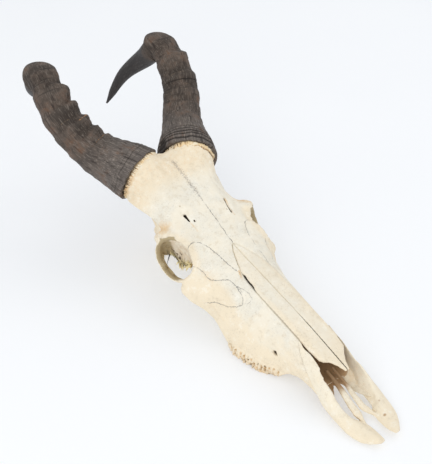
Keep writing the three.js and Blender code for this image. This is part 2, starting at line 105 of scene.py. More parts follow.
def place_light(name, at, aim, size, watts, colour):
    lamp = bpy.data.lights.new(name, "AREA")
    lamp.shape = "DISK"
    lamp.size = size
    lamp.energy = watts
    lamp.color = colour
    light = add_object(name, lamp)
    light.location = at
    light.rotation_mode = "QUATERNION"
    light.rotation_quaternion = (Vector(aim) - Vector(at)).to_track_quat("-Z", "Y")


def light_studio():
    bpy.context.scene.view_settings.view_transform = "Standard"
    world = bpy.data.worlds.new("studio")
    bpy.context.scene.world = world
    world.use_nodes = True
    sky = world.node_tree.nodes["Background"]
    sky.inputs["Color"].default_value = (0.955, 0.975, 1.0, 1)
    sky.inputs["Strength"].default_value = 0.83
    place_light("window", (1.3, -0.1, 1.9), (0, -0.05, 0.05), 1.6, 5.5, (1, 0.985, 0.96))
    place_light("front", (-1.5, -1.1, 1.3), (0, -0.1, 0.05), 1.4, 13, (1, 0.985, 0.96))


# ---- Mesh tools -----------------------------------------------------------------------------

def apply_all(piece):
    bpy.ops.object.select_all(action="DESELECT")
    piece.select_set(True)
    bpy.context.view_layer.objects.active = piece
    for modifier in list(piece.modifiers):
        bpy.ops.object.modifier_apply(modifier=modifier.name)


def points_of(piece):
    """The vertices in millimetres in the head's frame."""
    found = np.empty(len(piece.data.vertices) * 3)
    piece.data.vertices.foreach_get("co", found)
    found = found.reshape(-1, 3) / MM
    found[:, 1] -= HEAD_Y
    return found


def put_points(piece, points):
    moved = points.copy()
    moved[:, 1] += HEAD_Y
    piece.data.vertices.foreach_set("co", (moved * MM).ravel())
    piece.data.update()


def normals_of(piece):
    found = np.empty(len(piece.data.vertices) * 3)
    piece.data.vertices.foreach_get("normal", found)
    return found.reshape(-1, 3)


def edges_of(piece):
    found = np.empty(len(piece.data.edges) * 2, np.int32)
    piece.data.edges.foreach_get("vertices", found)
    return found.reshape(-1, 2)


def keep_fields(piece, **fields):
    """Stores one number per vertex and field for a finish to read."""
    for name, values in fields.items():
        values = np.zeros(len(piece.data.vertices)) + values
        field = piece.data.attributes.new(name, "FLOAT", "POINT")
        field.data.foreach_set("value", values.astype(np.float32))


def tree_of(mesh):
    """The mesh's faces, sorted for rays and nearest points."""
    return BVHTree.FromPolygons([v.co for v in mesh.vertices], [tuple(p.vertices) for p in mesh.polygons])


def thicken(piece, thickness, offset):
    wall = piece.modifiers.new("thickness", "SOLIDIFY")
    wall.thickness = thickness * MM
    wall.offset = offset
    apply_all(piece)


def fine_copy(node, name, voxel, lumps=()):
    """A closed copy of one solid, with lumps (centre, radii) grown on, in small even faces."""
    piece = add_object(name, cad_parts[node].data.copy())
    piece.data.materials.clear()
    body = bmesh.new()
    body.from_mesh(piece.data)
    bmesh.ops.remove_doubles(body, verts=body.verts, dist=2e-6)
    body.to_mesh(piece.data)
    body.free()
    for centre, radii in lumps:
        bpy.ops.object.select_all(action="DESELECT")
        bpy.ops.mesh.primitive_uv_sphere_add(segments=20, ring_count=12, radius=MM,
                                             location=to_world(centre), scale=radii)
        bpy.context.active_object.select_set(True)
        piece.select_set(True)
        bpy.context.view_layer.objects.active = piece
        bpy.ops.object.join()
    remesh = piece.modifiers.new("even faces", "REMESH")
    remesh.mode = "VOXEL"
    remesh.voxel_size = voxel * MM
    apply_all(piece)
    return piece


SHRINK, SWELL = 0.6, 0.612


def relax(points, edges, share, rounds):
    """Evens out facets by rounds of shrinking and swelling, and so keeps the size."""
    count = np.bincount(edges.ravel(), minlength=len(points))[:, None]
    a, b = edges.T
    for turn in range(2 * rounds):
        total = np.stack([
            np.bincount(a, points[b, k], len(points)) + np.bincount(b, points[a, k], len(points))
            for k in range(3)], 1)
        pull = (SHRINK if turn % 2 == 0 else -SWELL) * share[:, None]
        points = points + pull * (total / count - points)
    return points


def grain(points, size, shift=0.0):
    """Smooth noise from -1 to 1 whose bumps are about that many millimetres."""
    return np.array([noise.noise(p) for p in (points / size + shift).tolist()])


def ramp(value, low, high):
    """0 below low, 1 above high, smooth between; low may be the larger."""
    share = np.clip((value - low) / (high - low), 0, 1)
    return share * share * (3 - 2 * share)


def dot(a, b):
    return np.einsum("ij,ij->i", a, b)


def to_path(points, path):
    """For each point: the nearest point of a path, its distance and the path's direction there."""
    best = np.full(len(points), 1e9)
    foot = np.zeros_like(points)
    way = np.zeros_like(points)
    path = np.asarray(path, float)
    for start, end in zip(path[:-1], path[1:]):
        leg = end - start
        share = np.clip((points - start) @ leg / (leg @ leg), 0, 1)
        near = start + share[:, None] * leg
        gap = np.linalg.norm(points - near, axis=1)
        closer = gap < best
        best[closer] = gap[closer]
        foot[closer] = near[closer]
        way[closer] = leg / np.linalg.norm(leg)
    return foot, best, way


def refine(piece, spots, boxes):
    """Splits the faces round each (x, y, z, reach) twice and in each (low, high) box once."""
    body = bmesh.new()
    body.from_mesh(piece.data)
    for turn in range(2):
        chosen = set()
        for low, high in boxes if turn == 0 else ():
            low, high = to_world(low), to_world(high)
            chosen.update(e for e in body.edges
                          if all(low[k] < e.verts[0].co[k] < high[k] for k in range(3)))
        for x, y, z, reach in spots:
            centre = to_world((x, y, z))
            limit = reach * MM * (1 - 0.25 * turn)
            chosen.update(e for e in body.edges
                          if (e.verts[0].co - centre).length < limit
                          and (e.verts[1].co - centre).length < limit)
        bmesh.ops.subdivide_edges(body, edges=list(chosen), cuts=1, use_grid_fill=True)
    bmesh.ops.triangulate(body, faces=[f for f in body.faces if len(f.verts) > 4])
    body.to_mesh(piece.data)
    body.free()


def shelter_of(piece, reach, rays=9):
    """The share of rays that hit the piece itself within that many millimetres of each point."""
    tree = tree_of(piece.data)
    rng = np.random.default_rng(5)
    spread = rng.normal(size=(rays, 3))
    spread /= np.linalg.norm(spread, axis=1)[:, None]
    normals = normals_of(piece)
    hits = np.zeros(len(normals))
    starts = [v.co + v.normal * 0.0008 for v in piece.data.vertices]
    for way in spread:
        lines = normals * 1.02 + way
        lines /= np.linalg.norm(lines, axis=1)[:, None]
        for i, line in enumerate(lines.tolist()):
            if tree.ray_cast(starts[i], line, reach * MM)[0] is not None:
                hits[i] += 1
    return hits / rays


def finish_piece(piece, finish, slot, *nodes):
    """Smooth shading, material, hiding the solids it stands for, and its ride on the skull. The slot is
    not used.
    """
    low, high = (np.array(corner) / MM for corner in solid_box)
    shift = [0, HEAD_Y, 0]
    put_points(piece, np.clip(points_of(piece), low - shift, high - shift))
    piece.data.shade_smooth()
    piece.data.materials.append(finish)
    if nodes:
        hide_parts(*nodes)
    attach(piece, "root")


# ---- Shader tools ---------------------------------------------------------------------------

class Value:
    """A shader socket; arithmetic on it adds Math nodes."""

    def __init__(self, finish, socket):
        self.finish = finish
        self.socket = socket

    def maths(self, operation, first, second):
        return self.finish.node("ShaderNodeMath", {"operation": operation}, {0: first, 1: second})

    def __add__(self, other):
        return self.maths("ADD", self, other)

    def __sub__(self, other):
        return self.maths("SUBTRACT", self, other)

    def __rsub__(self, other):
        return self.maths("SUBTRACT", other, self)

    def __mul__(self, other):
        return self.maths("MULTIPLY", self, other)

    def __abs__(self):
        return self.maths("ABSOLUTE", self, 0)

    __radd__ = __add__


class Finish:
    """A material under construction."""

    def __init__(self, name, **fixed):
        self.material = bpy.data.materials.new(name)
        self.material.use_nodes = True
        self.tree = self.material.node_tree
        self.surface = self.tree.nodes["Principled BSDF"]
        self.place = self.node("ShaderNodeTexCoord", {}, {}, "Object")
        for socket, value in fixed.items():
            self.surface.inputs[socket.replace("_", " ")].default_value = value

    def node(self, kind, settings, inputs, output=0):
        made = self.tree.nodes.new(kind)
        for name, value in settings.items():
            setattr(made, name, value)
        for key, value in inputs.items():
            if isinstance(value, Value):
                self.tree.links.new(value.socket, made.inputs[key])
            else:
                made.inputs[key].default_value = value
        return Value(self, made.outputs[output])

    def field(self, name):
        return self.node("ShaderNodeAttribute", {"attribute_name": name}, {}, "Fac")

    def noise(self, size, detail=3.0, rough=0.55, stretch=(1, 1, 1), place=None):
        """Noise from 0 to 1 with bumps of about that many millimetres."""
        at = self.node("ShaderNodeMapping", {}, {
            "Vector": place or self.place, "Scale": tuple(s / (size * MM) for s in stretch)})
        return self.node("ShaderNodeTexNoise", {}, {
            "Vector": at, "Scale": 1.0, "Detail": detail, "Roughness": rough})

    def step(self, value, low, high):
        return self.node("ShaderNodeMapRange", {"interpolation_type": "SMOOTHSTEP"},
                         {"Value": value, "From Min": low, "From Max": high})

    def patchy(self, name, grit, amount, low, high):
        """A step over a field whose edge that noise breaks up."""
        return self.step(self.field(name) + grit * amount - amount / 2, low, high)

    def blend(self, share, first, second):
        colours = [c if isinstance(c, Value) else (*c, 1) for c in (first, second)]
        return self.node("ShaderNodeMix", {"data_type": "RGBA"},
                         {0: share, 6: colours[0], 7: colours[1]}, 2)

    def paint(self, colour, *layers):
        """The colour with each (share, colour) layer laid over it in turn."""
        for share, over in layers:
            colour = self.blend(share, colour, over)
        return colour

    def ridges(self, height, depth):
        return self.node("ShaderNodeBump", {}, {"Height": height, "Distance": depth * MM,
                                                "Strength": 1.0})

    def set(self, **links):
        for socket, value in links.items():
            self.tree.links.new(value.socket, self.surface.inputs[socket.replace("_", " ")])


def lay_floor():
    bpy.ops.object.select_all(action="DESELECT")
    bpy.ops.mesh.primitive_plane_add(size=14, location=(0, 0, 0))
    floor = bpy.context.active_object
    floor.name = "floor"
    pale = Finish("pale floor", Roughness=0.9, Emission_Color=(0.96, 0.975, 1, 1), Emission_Strength=0.30)
    soft = pale.noise(400, 2, 0.5)
    pale.set(Base_Color=pale.blend(soft, (0.645, 0.655, 0.672), (0.67, 0.68, 0.69)))
    floor.data.materials.append(pale.material)


# ---- Bone -----------------------------------------------------------------------------------

CREAM = (0.885, 0.82, 0.685)
COOL = (0.83, 0.79, 0.685)
IVORY = (0.90, 0.835, 0.685)
BUFF = (0.87, 0.745, 0.55)
TAN = (0.76, 0.52, 0.27)
RUST = (0.36, 0.20, 0.085)
SHADE_BLACK = (0.035, 0.026, 0.02)
SEAM_GREY = (0.20, 0.19, 0.18)
OLIVE = (0.45, 0.36, 0.215)


def bone_finish(name, body, patch, seams):
    """Dry cream bone. Fields from 0 to 1: buff, tan, shelter, olive, stain and hole. With seams
    also seam, the signed millimetres to a suture, and seam_jag, seam_on and seam_smudge.
    """
    finish = Finish(name, IOR=1.45, Specular_IOR_Level=0.3)
    clouds = finish.noise(24, 5, 0.62)
    cast = finish.noise(46, 3, 0.5)
    flecks = finish.noise(5, 4, 0.65)
    specks = finish.noise(1.5, 3, 0.6)
    pores = finish.noise(0.9, 2, 0.5)
    strands = finish.noise(1.7, 4, 0.65, stretch=(1, 0.16, 1))
    smears = finish.noise(9, 5, 0.7)
    wide = finish.step(finish.noise(60, 3, 0.6), 0.48, 0.64)
    warm = finish.step(finish.field("buff") + cast * 0.9 - 0.45 + flecks * 0.3 - 0.15, 0.0, 0.9)
    grime = finish.step(specks, 0.56, 0.70) * finish.step(clouds, 0.42, 0.60)
    # Brown where the piece shelters itself from the room's light: painted shade. The same mask also
    # roughens the bone.
    occlusion_shade = finish.patchy("shelter", flecks, 0.3, 0.42, 1.02)
    colour = finish.paint(
        body, (finish.step(clouds, 0.36, 0.66), patch), (warm * 0.8, BUFF),
        (finish.step(flecks, 0.56, 0.78) * 0.4, BUFF),
        (finish.patchy("tan", flecks, 0.9, 0.15, 0.95) * 0.85, TAN), (grime * 0.42, (0.50, 0.42, 0.32)),
        (finish.step(smears, 0.52, 0.68) * 0.40, (0.66, 0.56, 0.41)),
        (finish.step(smears, 0.45, 0.34) * 0.40, (0.96, 0.92, 0.82)), (wide * 0.22, (0.72, 0.62, 0.46)),
        (finish.step(strands, 0.60, 0.76) * 0.22, (0.62, 0.52, 0.38)), (occlusion_shade * 0.8, (0.44, 0.31, 0.18)),
        (finish.patchy("olive", flecks, 0.4, 0.15, 0.8), OLIVE),
        (finish.patchy("stain", flecks, 0.5, 0.1, 0.9) * 0.9, RUST),
        # Near black in holes, pits and the gaps between bones: painted shade.
        (finish.step(finish.field("hole"), 0.15, 0.8), SHADE_BLACK))
    height = flecks * 0.5 + strands * 0.35 - finish.step(pores, 0.64, 0.74) * 0.4 - grime * 0.3
    if seams:
        zigzag = finish.noise(2.4, 3, 0.7)
        broad = finish.noise(9, 2, 0.5)
        line = abs(finish.field("seam") + (zigzag - 0.5) * finish.field("seam_jag"))
        mark = (1 - finish.step(line, 0.08, 0.52)) * finish.step(broad, 0.30, 0.50)
        mark = mark * finish.field("seam_on")
        smudge = (1 - finish.step(line, 0.6, 4.6)) * finish.field("seam_smudge")
        smudge = smudge * finish.step(specks, 0.44, 0.56)
        colour = finish.paint(colour, (smudge * 0.65, (0.36, 0.31, 0.26)), (mark * 0.85, SEAM_GREY))
        height = height - mark * 0.9
    finish.set(Base_Color=colour, Normal=finish.ridges(height, 0.4),
               Roughness=0.55 + flecks * 0.22 + occlusion_shade * 0.12)
    return finish.material


# The suture on the midline, and those of the right side with their strength.
MIDLINE = [(0, -2, 146.5), (0, -28, 136.5), (0, -53, 127.5), (0, -78, 117.4),
           (0, -103, 106.5), (0, -127, 95.5)]
SUTURES = [
    (1.0, [(-49, -105, 93), (-42.6, -102.7, 96.4), (-38.4, -104.8, 98.3), (-33.8, -108.6, 98.4),
           (-29.4, -118.6, 95.3), (-26.2, -131, 92), (-23.9, -146.6, 88.5), (-22.4, -158, 86.3),
           (-20.5, -169, 84.7)]),
    (0.9, [(-52.5, -123, 79), (-49.9, -128, 79), (-48, -136, 76.8), (-47.7, -142, 73.4),
           (-45.7, -148, 72), (-40.5, -155.5, 74.5), (-34, -163.8, 78.3), (-31.6, -176, 76),
           (-32, -188, 70), (-33.2, -192, 65.7), (-34.6, -194, 61.5), (-39.1, -188.4, 56.8),
           (-44.1, -178.5, 53.8), (-51.3, -161.4, 51.3), (-55.9, -152.3, 45.5)]),
    (0.7, [(-31.6, -176, 76), (-28.6, -184.8, 76.3), (-27.1, -194, 74.5), (-27.5, -200, 71.6),
           (-30.7, -199, 66.5)]),
]


def mirrored(path):
    return [(-x, y, z) for x, y, z in path]


def mark_sutures(piece, points, normals):
    """Keeps the fields of the sutures."""
    nearest = np.full(len(points), 9.0)
    signed = np.full(len(points), 9.0)
    shown = np.zeros(len(points))
    lines = [(1.0, MIDLINE)]
    for strength, path in SUTURES:
        lines += [(strength, path), (strength * 0.8, mirrored(path))]
    for strength, path in lines:
        foot, gap, way = to_path(points, path)
        side = np.sign(dot(np.cross(way, points - foot), normals))
        closer = gap < nearest
        nearest[closer] = gap[closer]
        signed[closer] = (gap * side)[closer]
        shown[closer] = (strength * ramp(gap, 5.0, 3.0))[closer]
    drift = 0.9 * grain(points, 13, 8) + 0.5 * grain(points, 6, 8)
    front = ramp(points[:, 1], -66, -48) * ramp(np.abs(points[:, 0]), 7, 4)
    keep_fields(piece, seam=signed + drift * ramp(nearest, 6, 2), seam_on=shown * (1 - 0.65 * front),
                seam_jag=3.6 + 12 * front, seam_smudge=front * ramp(points[:, 1], 0, -6))


# Holes in the bone: two ends, half width at each end, depth.
HOLES = [
    ((-31.3, -73.2, 115), (-30.3, -81.6, 111.7), 1.75, 0.8, 6.0),
    ((-24.7, -84.6, 112), (-24.7, -85.6, 111.8), 1.1, 0.9, 4.0),
    ((-29.4, -60.8, 121), (-29.4, -61.6, 121), 1.1, 0.8, 1.4),
    ((-16.7, -59.1, 124.7), (-16.2, -59.4, 124.7), 0.8, 0.7, 0.8),
    ((28.6, -73, 116.4), (27.6, -80, 113.6), 1.1, 0.9, 2.4),
    ((27.6, -80, 113.6), (27.2, -91, 108.6), 0.9, 1.7, 2.8),
    ((22.6, -86.5, 111.4), (23.2, -87.5, 111), 0.8, 0.6, 1.6),
    ((-70.5, -87.5, 54), (-65.5, -92, 59.5), 0.7, 0.5, 1.0),
    ((-67, -86.5, 57.5), (-65.8, -88, 58), 0.6, 0.5, 3.6),
    ((-34.3, -251.8, 32.8), (-34.6, -254.4, 31.2), 2.3, 1.3, 9.0),
    ((34.3, -251.8, 32.8), (34.6, -254.4, 31.2), 2.3, 1.3, 9.0),
]


def sink_holes(points):
    """Inward depth at each point and how dark it is there."""
    depth = np.zeros(len(points))
    dark = np.zeros(len(points))
    for start, end, wide, narrow, deep in HOLES:
        foot, gap, _ = to_path(points, [start, end])
        share = np.linalg.norm(foot - np.array(start), axis=1)
        share /= np.linalg.norm(np.array(end) - np.array(start))
        width = wide + (narrow - wide) * share + 0.25 * grain(points, 2, 5)
        depth = np.maximum(depth, deep * ramp(gap / width, 1.25, 0.5))
        # The dark inside each hole is painted shade, deeper holes darker.
        dark = np.maximum(dark, ramp(gap / width, 1.15, 0.8) * min(1.0, deep / 4))
    return depth, dark


ORBIT_RIM = [
    (60, -77, 95), (52, -87, 96), (47.5, -103, 92.5), (50, -115, 86.5), (52.5, -123.5, 79),
    (58, -125, 69), (65, -118, 59.5), (68, -106, 54), (70, -92, 55), (72, -79, 64),
    (71.5, -71, 77), (68, -71, 88), (60, -77, 95),
]
ORBIT_CENTRE = np.array([61, -97, 74])
ARCH = [(68.5, -84, 61), (60.5, -66, 57), (50, -48, 56), (41, -34, 58), (32, -22, 61)]
REAR_PROCESS = [(19, 1, 46), (20, -2, 28), (20, -4, 12), (19.5, -5, -2)]
HORN_LINE = [
    (38, 19, 129), (68.4, 73.3, 146.9), (90.2, 111, 184.3), (91.1, 155.5, 220.6),
    (85.1, 188.6, 193.6), (60.6, 211.4, 162.6), (34, 216.6, 123.5),
]


def horn_path(steps=900):
    """Evenly counted points of the horn's centre line, and their distance from its rim."""
    knots = np.array(HORN_LINE)
    ends = [2 * knots[0] - knots[1], *knots, 2 * knots[-1] - knots[-2]]
    found = []
    for i in range(len(knots) - 1):
        p0, p1, p2, p3 = ends[i:i + 4]
        d0, d1, d2 = [np.linalg.norm(q - p) ** 0.5 for p, q in ((p0, p1), (p1, p2), (p2, p3))]
        lead = ((p1 - p0) / d0 - (p2 - p0) / (d0 + d1) + (p2 - p1) / d1) * d1
        trail = ((p2 - p1) / d1 - (p3 - p1) / (d1 + d2) + (p3 - p2) / d2) * d1
        for f in np.linspace(0, 1, steps // 6, endpoint=i == len(knots) - 2):
            found.append(p1 + lead * f + (3 * (p2 - p1) - 2 * lead - trail) * f ** 2
                         + (2 * (p1 - p2) + lead + trail) * f ** 3)
    found = np.array(found)
    legs = np.linalg.norm(np.diff(found, axis=0), axis=1)
    return found, np.concatenate([[0], np.cumsum(legs)])


HORN_POINTS, HORN_RUN = horn_path()
HORN_LENGTH = HORN_RUN[-1]
HORN_WAYS = np.gradient(HORN_POINTS, axis=0)
HORN_WAYS /= np.linalg.norm(HORN_WAYS, axis=1)[:, None]
# The way the rings' knobs point on the left horn (1) and on the right horn (-1), mirrored.
HORN_FRONTS = {1: Vector((0.30, -0.62, 0.64)).normalized(),
               -1: Vector((-0.62, -0.55, 0.56)).normalized()}


def rim_distance(points):
    """Millimetres along the left horn's axis past the rim of its sheath, and out from that axis."""
    off = points - HORN_POINTS[0]
    along = off @ HORN_WAYS[0]
    out = np.linalg.norm(off - along[:, None] * HORN_WAYS[0], axis=1)
    return along, out


# Where the frontal bone closes over the back of each orbit's rim: centre and radii.
SKULL_LUMPS = [((side * x, y, z), radii) for side in (1, -1) for x, y, z, radii in (
    (58, -70, 95.5, (9, 9, 5)), (63, -66, 90, (6, 7, 6)), (53, -77, 99, (7, 8, 4)))]
TOOTH_ROWS = [((-53, -268, -2), (-24, -190, 14)), ((24, -268, -2), (53, -190, 14))]


def to_left(points):
    """The points, those of the right side mirrored to the left."""
    return np.abs(points) * [1, 0, 0] + points * [0, 1, 1]


def distance_to(points, *path):
    return to_path(points, path)[1]


def blob(points, centre, radii):
    """1 at the centre of a soft ellipsoid, falling to 0 outside."""
    return np.exp(-np.sum(((points - centre) / radii) ** 2, 1))


def tooth_edge(points):
    """1 along the tooth rows."""
    return ramp(points[:, 1], -188, -196) * ramp(points[:, 1], -268, -260)


def spread_left_orbit(points):
    """The left orbit stands out a little further than the right one."""
    gap = distance_to(points, *ORBIT_RIM)
    share = ramp(gap, 26, 6) * ramp(points[:, 0], 44, 57) * ramp(points[:, 1], -138, -118)
    share *= ramp(points[:, 1], -48, -66)
    cheek = np.exp(-np.sum((points - [50, -113, 88]) ** 2, 1) / (2 * 9.0 ** 2))
    cheek *= (1 - share) * ramp(points[:, 0], 20, 40)
    return points + share[:, None] * [6.5, -4.5, -1] + cheek[:, None] * [3.5, -1.5, 0.5]


def smooth_skull(piece):
    """Evens the facets out, less so on thin rims and processes, and splits faces for detail."""
    points = points_of(piece)
    share = np.ones(len(points))
    for path, reach in ((ORBIT_RIM, 8), (ARCH, 7), (REAR_PROCESS, 8)):
        gap = distance_to(to_left(points), *path)
        share *= 0.06 + 0.94 * ramp(gap, reach * 0.7, reach * 1.6)
    share *= 1 - 0.9 * tooth_edge(points) * ramp(points[:, 2], 12, 5)
    put_points(piece, relax(points, edges_of(piece), share, 70))
    refine(piece, [(*((np.array(a) + b) / 2), math.dist(a, b) / 2 + 3) for a, b, *_ in HOLES], TOOTH_ROWS)


def build_skull():
    piece = fine_copy("skull", "skull_bone", 1.7, SKULL_LUMPS)
    smooth_skull(piece)
    points, normals = points_of(piece), normals_of(piece)
    x, y, z = points.T
    left, jaw = to_left(points), tooth_edge(points)
    depth, dark = sink_holes(points)
    lift = 0.25 * grain(points, 22) + 0.14 * grain(points, 8, 3) + 0.05 * grain(points, 2.5, 6) - depth
    # The edge round the tooth sockets is a broken double row of knobs and pits.
    edge = jaw * ramp(z + 2.5 * grain(points, 6, 3), 13, 9) * ramp(np.abs(normals[:, 0]), 0.05, 0.4)
    knobs = 0.2 * np.cos(y * 2 * math.pi / 4.6 + 3.5 * grain(points, 12, 2))
    knobs += 1.3 * grain(points * [1, 1, 1.3], 3.0, 9) + 0.8 * grain(points, 1.7, 4)
    lift += edge * (1.7 * knobs + 1.2 * ramp(z, 12, 8))
    lift -= 0.7 * jaw * np.exp(-((z - 14 - grain(points, 9, 1)) / 1.6) ** 2)
    pits = edge * ramp(z, 11.5, 9) * ramp(knobs, -0.22, -0.60)
    # Black in the pits between the knobs is painted shade.
    dark = np.maximum(dark, pits * (0.12 + 0.88 * ramp(grain(points, 4.5, 12), 0.0, 0.3)))
    lift -= 2.0 * pits
    # A trough in front of the slit above each orbit, and the low ridges of cheek and brow.
    trough = distance_to(left, (29.5, -82, 112), (27, -104, 103))
    crest = distance_to(left, (55, -150, 46), (52.3, -163, 46.7), (51.2, -169, 41.5), (49.8, -179, 35.8))
    brow = distance_to(left, (20, -52, 127), (27, -66, 120), (38, -80, 111))
    lift += np.exp(-(crest / 3.2) ** 2) + 0.8 * np.exp(-(brow / 6) ** 2) - 0.9 * ramp(trough, 6, 0.5)
    # Fibrous bone where it meets each horn's sheath, and bone drawn in below the sheath.
    along, out = rim_distance(left)
    rim = ramp(along, -12, -2) * ramp(along, 3, 1) * ramp(out, 28, 32)
    around = np.arctan2(left[:, 2] - 129, left[:, 0] - 38) * 33
    spokes = grain(np.stack([around, along / 7, x * 0], 1), 1.4, 4)
    lift += rim * (0.5 * spokes + 0.6 * grain(points, 3.5, 2))
    lift -= 1.6 * ramp(along, -2, 3) * (out < 37) * ramp(z, 90, 100)
    points = points + lift[:, None] * normals
    chipped = jaw * ramp(points[:, 2], 6, 1) * np.clip(grain(points * [1, 1, 0.2], 2.6, 7) + 0.2, 0, 1)
    points[:, 2] = np.maximum(points[:, 2] + 5.5 * chipped, 0)
    put_points(piece, spread_left_orbit(points))

    x, y, z = points.T
    normals = normals_of(piece)
    gap = distance_to(left, *ORBIT_RIM)
    buff = np.maximum.reduce([
        ramp(along, -36, -8) * ramp(out, 14, 28) * (y < 70),
        0.95 * ramp(y, -50, -12),
        1.15 * ramp(z, 50, 20) * ramp(y, -165, -195),
        0.5 * ramp(z, 70, 40) * ramp(y, -150, -180),
        0.5 * ramp(y, 15, 45),
        0.7 * ramp(gap, 13, 3),
        0.85 * ramp(left[:, 2], 88, 62) * ramp(left[:, 0], 34, 44)])
    tan = np.maximum.reduce([
        0.9 * ramp(along + 4 * grain(points, 9, 4), -13, -1) * ramp(out, 25, 31) * (y < 70),
        jaw * (0.30 * ramp(z, 10, 2) + 0.25 * ramp(z, 18, 9)),
        # Tan in the hollows between the knobs is painted shade.
        0.85 * edge * ramp(knobs, 0.1, -0.45),
        0.6 * ramp(distance_to(points, (-30, -83, 111), (-28.5, -97, 105.5)), 2.4, 0.4),
        0.6 * ramp(distance_to(points, (29.5, -74, 116), (29.3, -83, 112.5), (28.5, -95, 107)), 3.2, 1),
        0.8 * ramp(distance_to(points, (-19.5, -166, 85.5), (-24, -178, 83.5)), 2.6, 0.8),
        0.35 * np.exp(-(crest / 3) ** 2),
        0.24 * ramp(z, 40, 12) * ramp(y, -165, -195),
        # The next two darken the cheek before each orbit and the hollow behind each orbit's rim: painted
        # shade.
        0.44 * blob(left, [46, -140, 74], [9, 14, 9]),
        0.95 * blob(left, [55, -64, 95], [15, 14, 13]) * ramp(gap, 3, 7),
        0.32 * ramp(y, -45, -12) * (y < 70)])
    # Stained inside the nose, and olive inside the orbits.
    axis = np.stack([x * 0, y, np.interp(y, [-330, -180], [28, 55])], 1)
    inward = dot(axis - points, normals) / (np.linalg.norm(axis - points, axis=1) + 0.1)
    stain = ramp(inward, 0.1, 0.6) * ramp(y, -100, -180) * ramp(np.abs(x), 30, 24)
    inner = ORBIT_CENTRE - left
    inner /= np.linalg.norm(inner, axis=1)[:, None]
    facing = np.sign(x) * inner[:, 0] * normals[:, 0] + dot(inner[:, 1:], normals[:, 1:])
    olive = ramp(facing, -0.15, 0.35) * ramp(gap, 10, 7) * ramp(left[:, 1], -121, -100)
    olive *= 1 - ramp(left[:, 2], 84, 90) * ramp(left[:, 1], -86, -96)
    keep_fields(piece, olive=olive, buff=buff * (1 - olive), tan=tan, shelter=shelter_of(piece, 40),
                stain=stain, hole=dark)
    mark_sutures(piece, points, normals)
    finish_piece(piece, bone_finish("skull bone", CREAM, COOL, True), "skull_bone", "skull")
    return piece


SMALL_BONES = ("nasal_left", "nasal_right", "premaxilla_left", "premaxilla_right")
# How dark the painted shade in the seam beside the nasal bones is at each y.
NASAL_SEAM = [(-300, 0.9), (-288, 0.5), (-200, 0.45), (-192, 1), (-176, 1), (-168, 0.25)]


def seam_share(points, *nodes):
    """1 where a point lies against one of those solids, 0 from 0.8 millimetres away."""
    touch = np.zeros(len(points))
    for node in nodes:
        tree = tree_of(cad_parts[node].data)
        gap = np.array([tree.find_nearest(to_world(p))[3] for p in points]) / MM
        touch = np.maximum(touch, ramp(gap, 0.8, 0.4))
    return touch


def build_small_bone(node, name, voxel, finish, slot, shape, colours):
    """A fine copy of a nasal bone or a premaxilla; shape moves its points, colours gives fields."""
    piece = fine_copy(node, name, voxel)
    points = points_of(piece)
    points = relax(points, edges_of(piece), np.full(len(points), 0.55), 30)
    put_points(piece, points)
    normals = normals_of(piece)
    if node.startswith("nasal"):
        seam = seam_share(points, "skull") * ramp(np.abs(points[:, 0]), 2, 4)
        seam *= np.interp(points[:, 1], *zip(*NASAL_SEAM))
    else:
        seam = seam_share(points, "skull", *(n for n in SMALL_BONES if n[:5] != node[:5]))
        seam *= 0.55 + 0.45 * ramp(points[:, 1], -306, -290)
    points = shape(points, normals)
    lift = 0.16 * grain(points, 16) + 0.09 * grain(points, 4, 3)
    put_points(piece, points + lift[:, None] * normals)
    fields = {"olive": 0, **colours(points, normals)}
    # Black on the side walls of the gaps to the neighbouring bones: painted shade.
    fields["hole"] = np.maximum(fields["hole"], 0.85 * seam * ramp(np.abs(normals[:, 2]), 0.8, 0.5))
    shelter = shelter_of(piece, 30, 6) * (0.4 if node == "premaxilla_left" else 1)
    keep_fields(piece, shelter=shelter, **fields)
    finish_piece(piece, finish, slot, node)


def shape_nasal(side):
    """The right one leaves a gap beside it at its back end."""
    def shape(points, normals):
        if side < 0:
            points = points.copy()
            opened = ramp(points[:, 1], -197, -190) * ramp(points[:, 1], -168, -176)
            points[:, 0] += 1.9 * opened * ramp(points[:, 0], -13, -19)
        return points
    return shape


def colour_nasal(points, normals):
    across, y = np.abs(points[:, 0]), points[:, 1]
    tip = ramp(y, -300, -335)
    warm = 0.25 + 0.35 * tip + 0.35 * ramp(y, -225, -290) + 0.3 * ramp(across, 13, 19)
    return {"buff": warm, "tan": 0.12 * tip, "stain": 0.75 * ramp(normals[:, 2], 0.1, -0.4),
            "hole": 0.8 * ramp(across, 0.7, 0.3) * ramp(y, -225, -275)}


# For the left (1) and right (-1) premaxilla's rod: how much it is widened, how far it is moved
# out, and the y of both rows.
ROD_WIDER = {1: [2.6, 2.2, 1.2, 0.9], -1: [2.9, 2.6, 1.9, 1.2]}
ROD_WIDER_AT = [-362, -345, -325, -305]
ROD_SHIFT = {1: [1.2, 2.0, 2.6], -1: [1.4, 1.6, 0.4]}
ROD_SHIFT_AT = [-362, -345, -325]


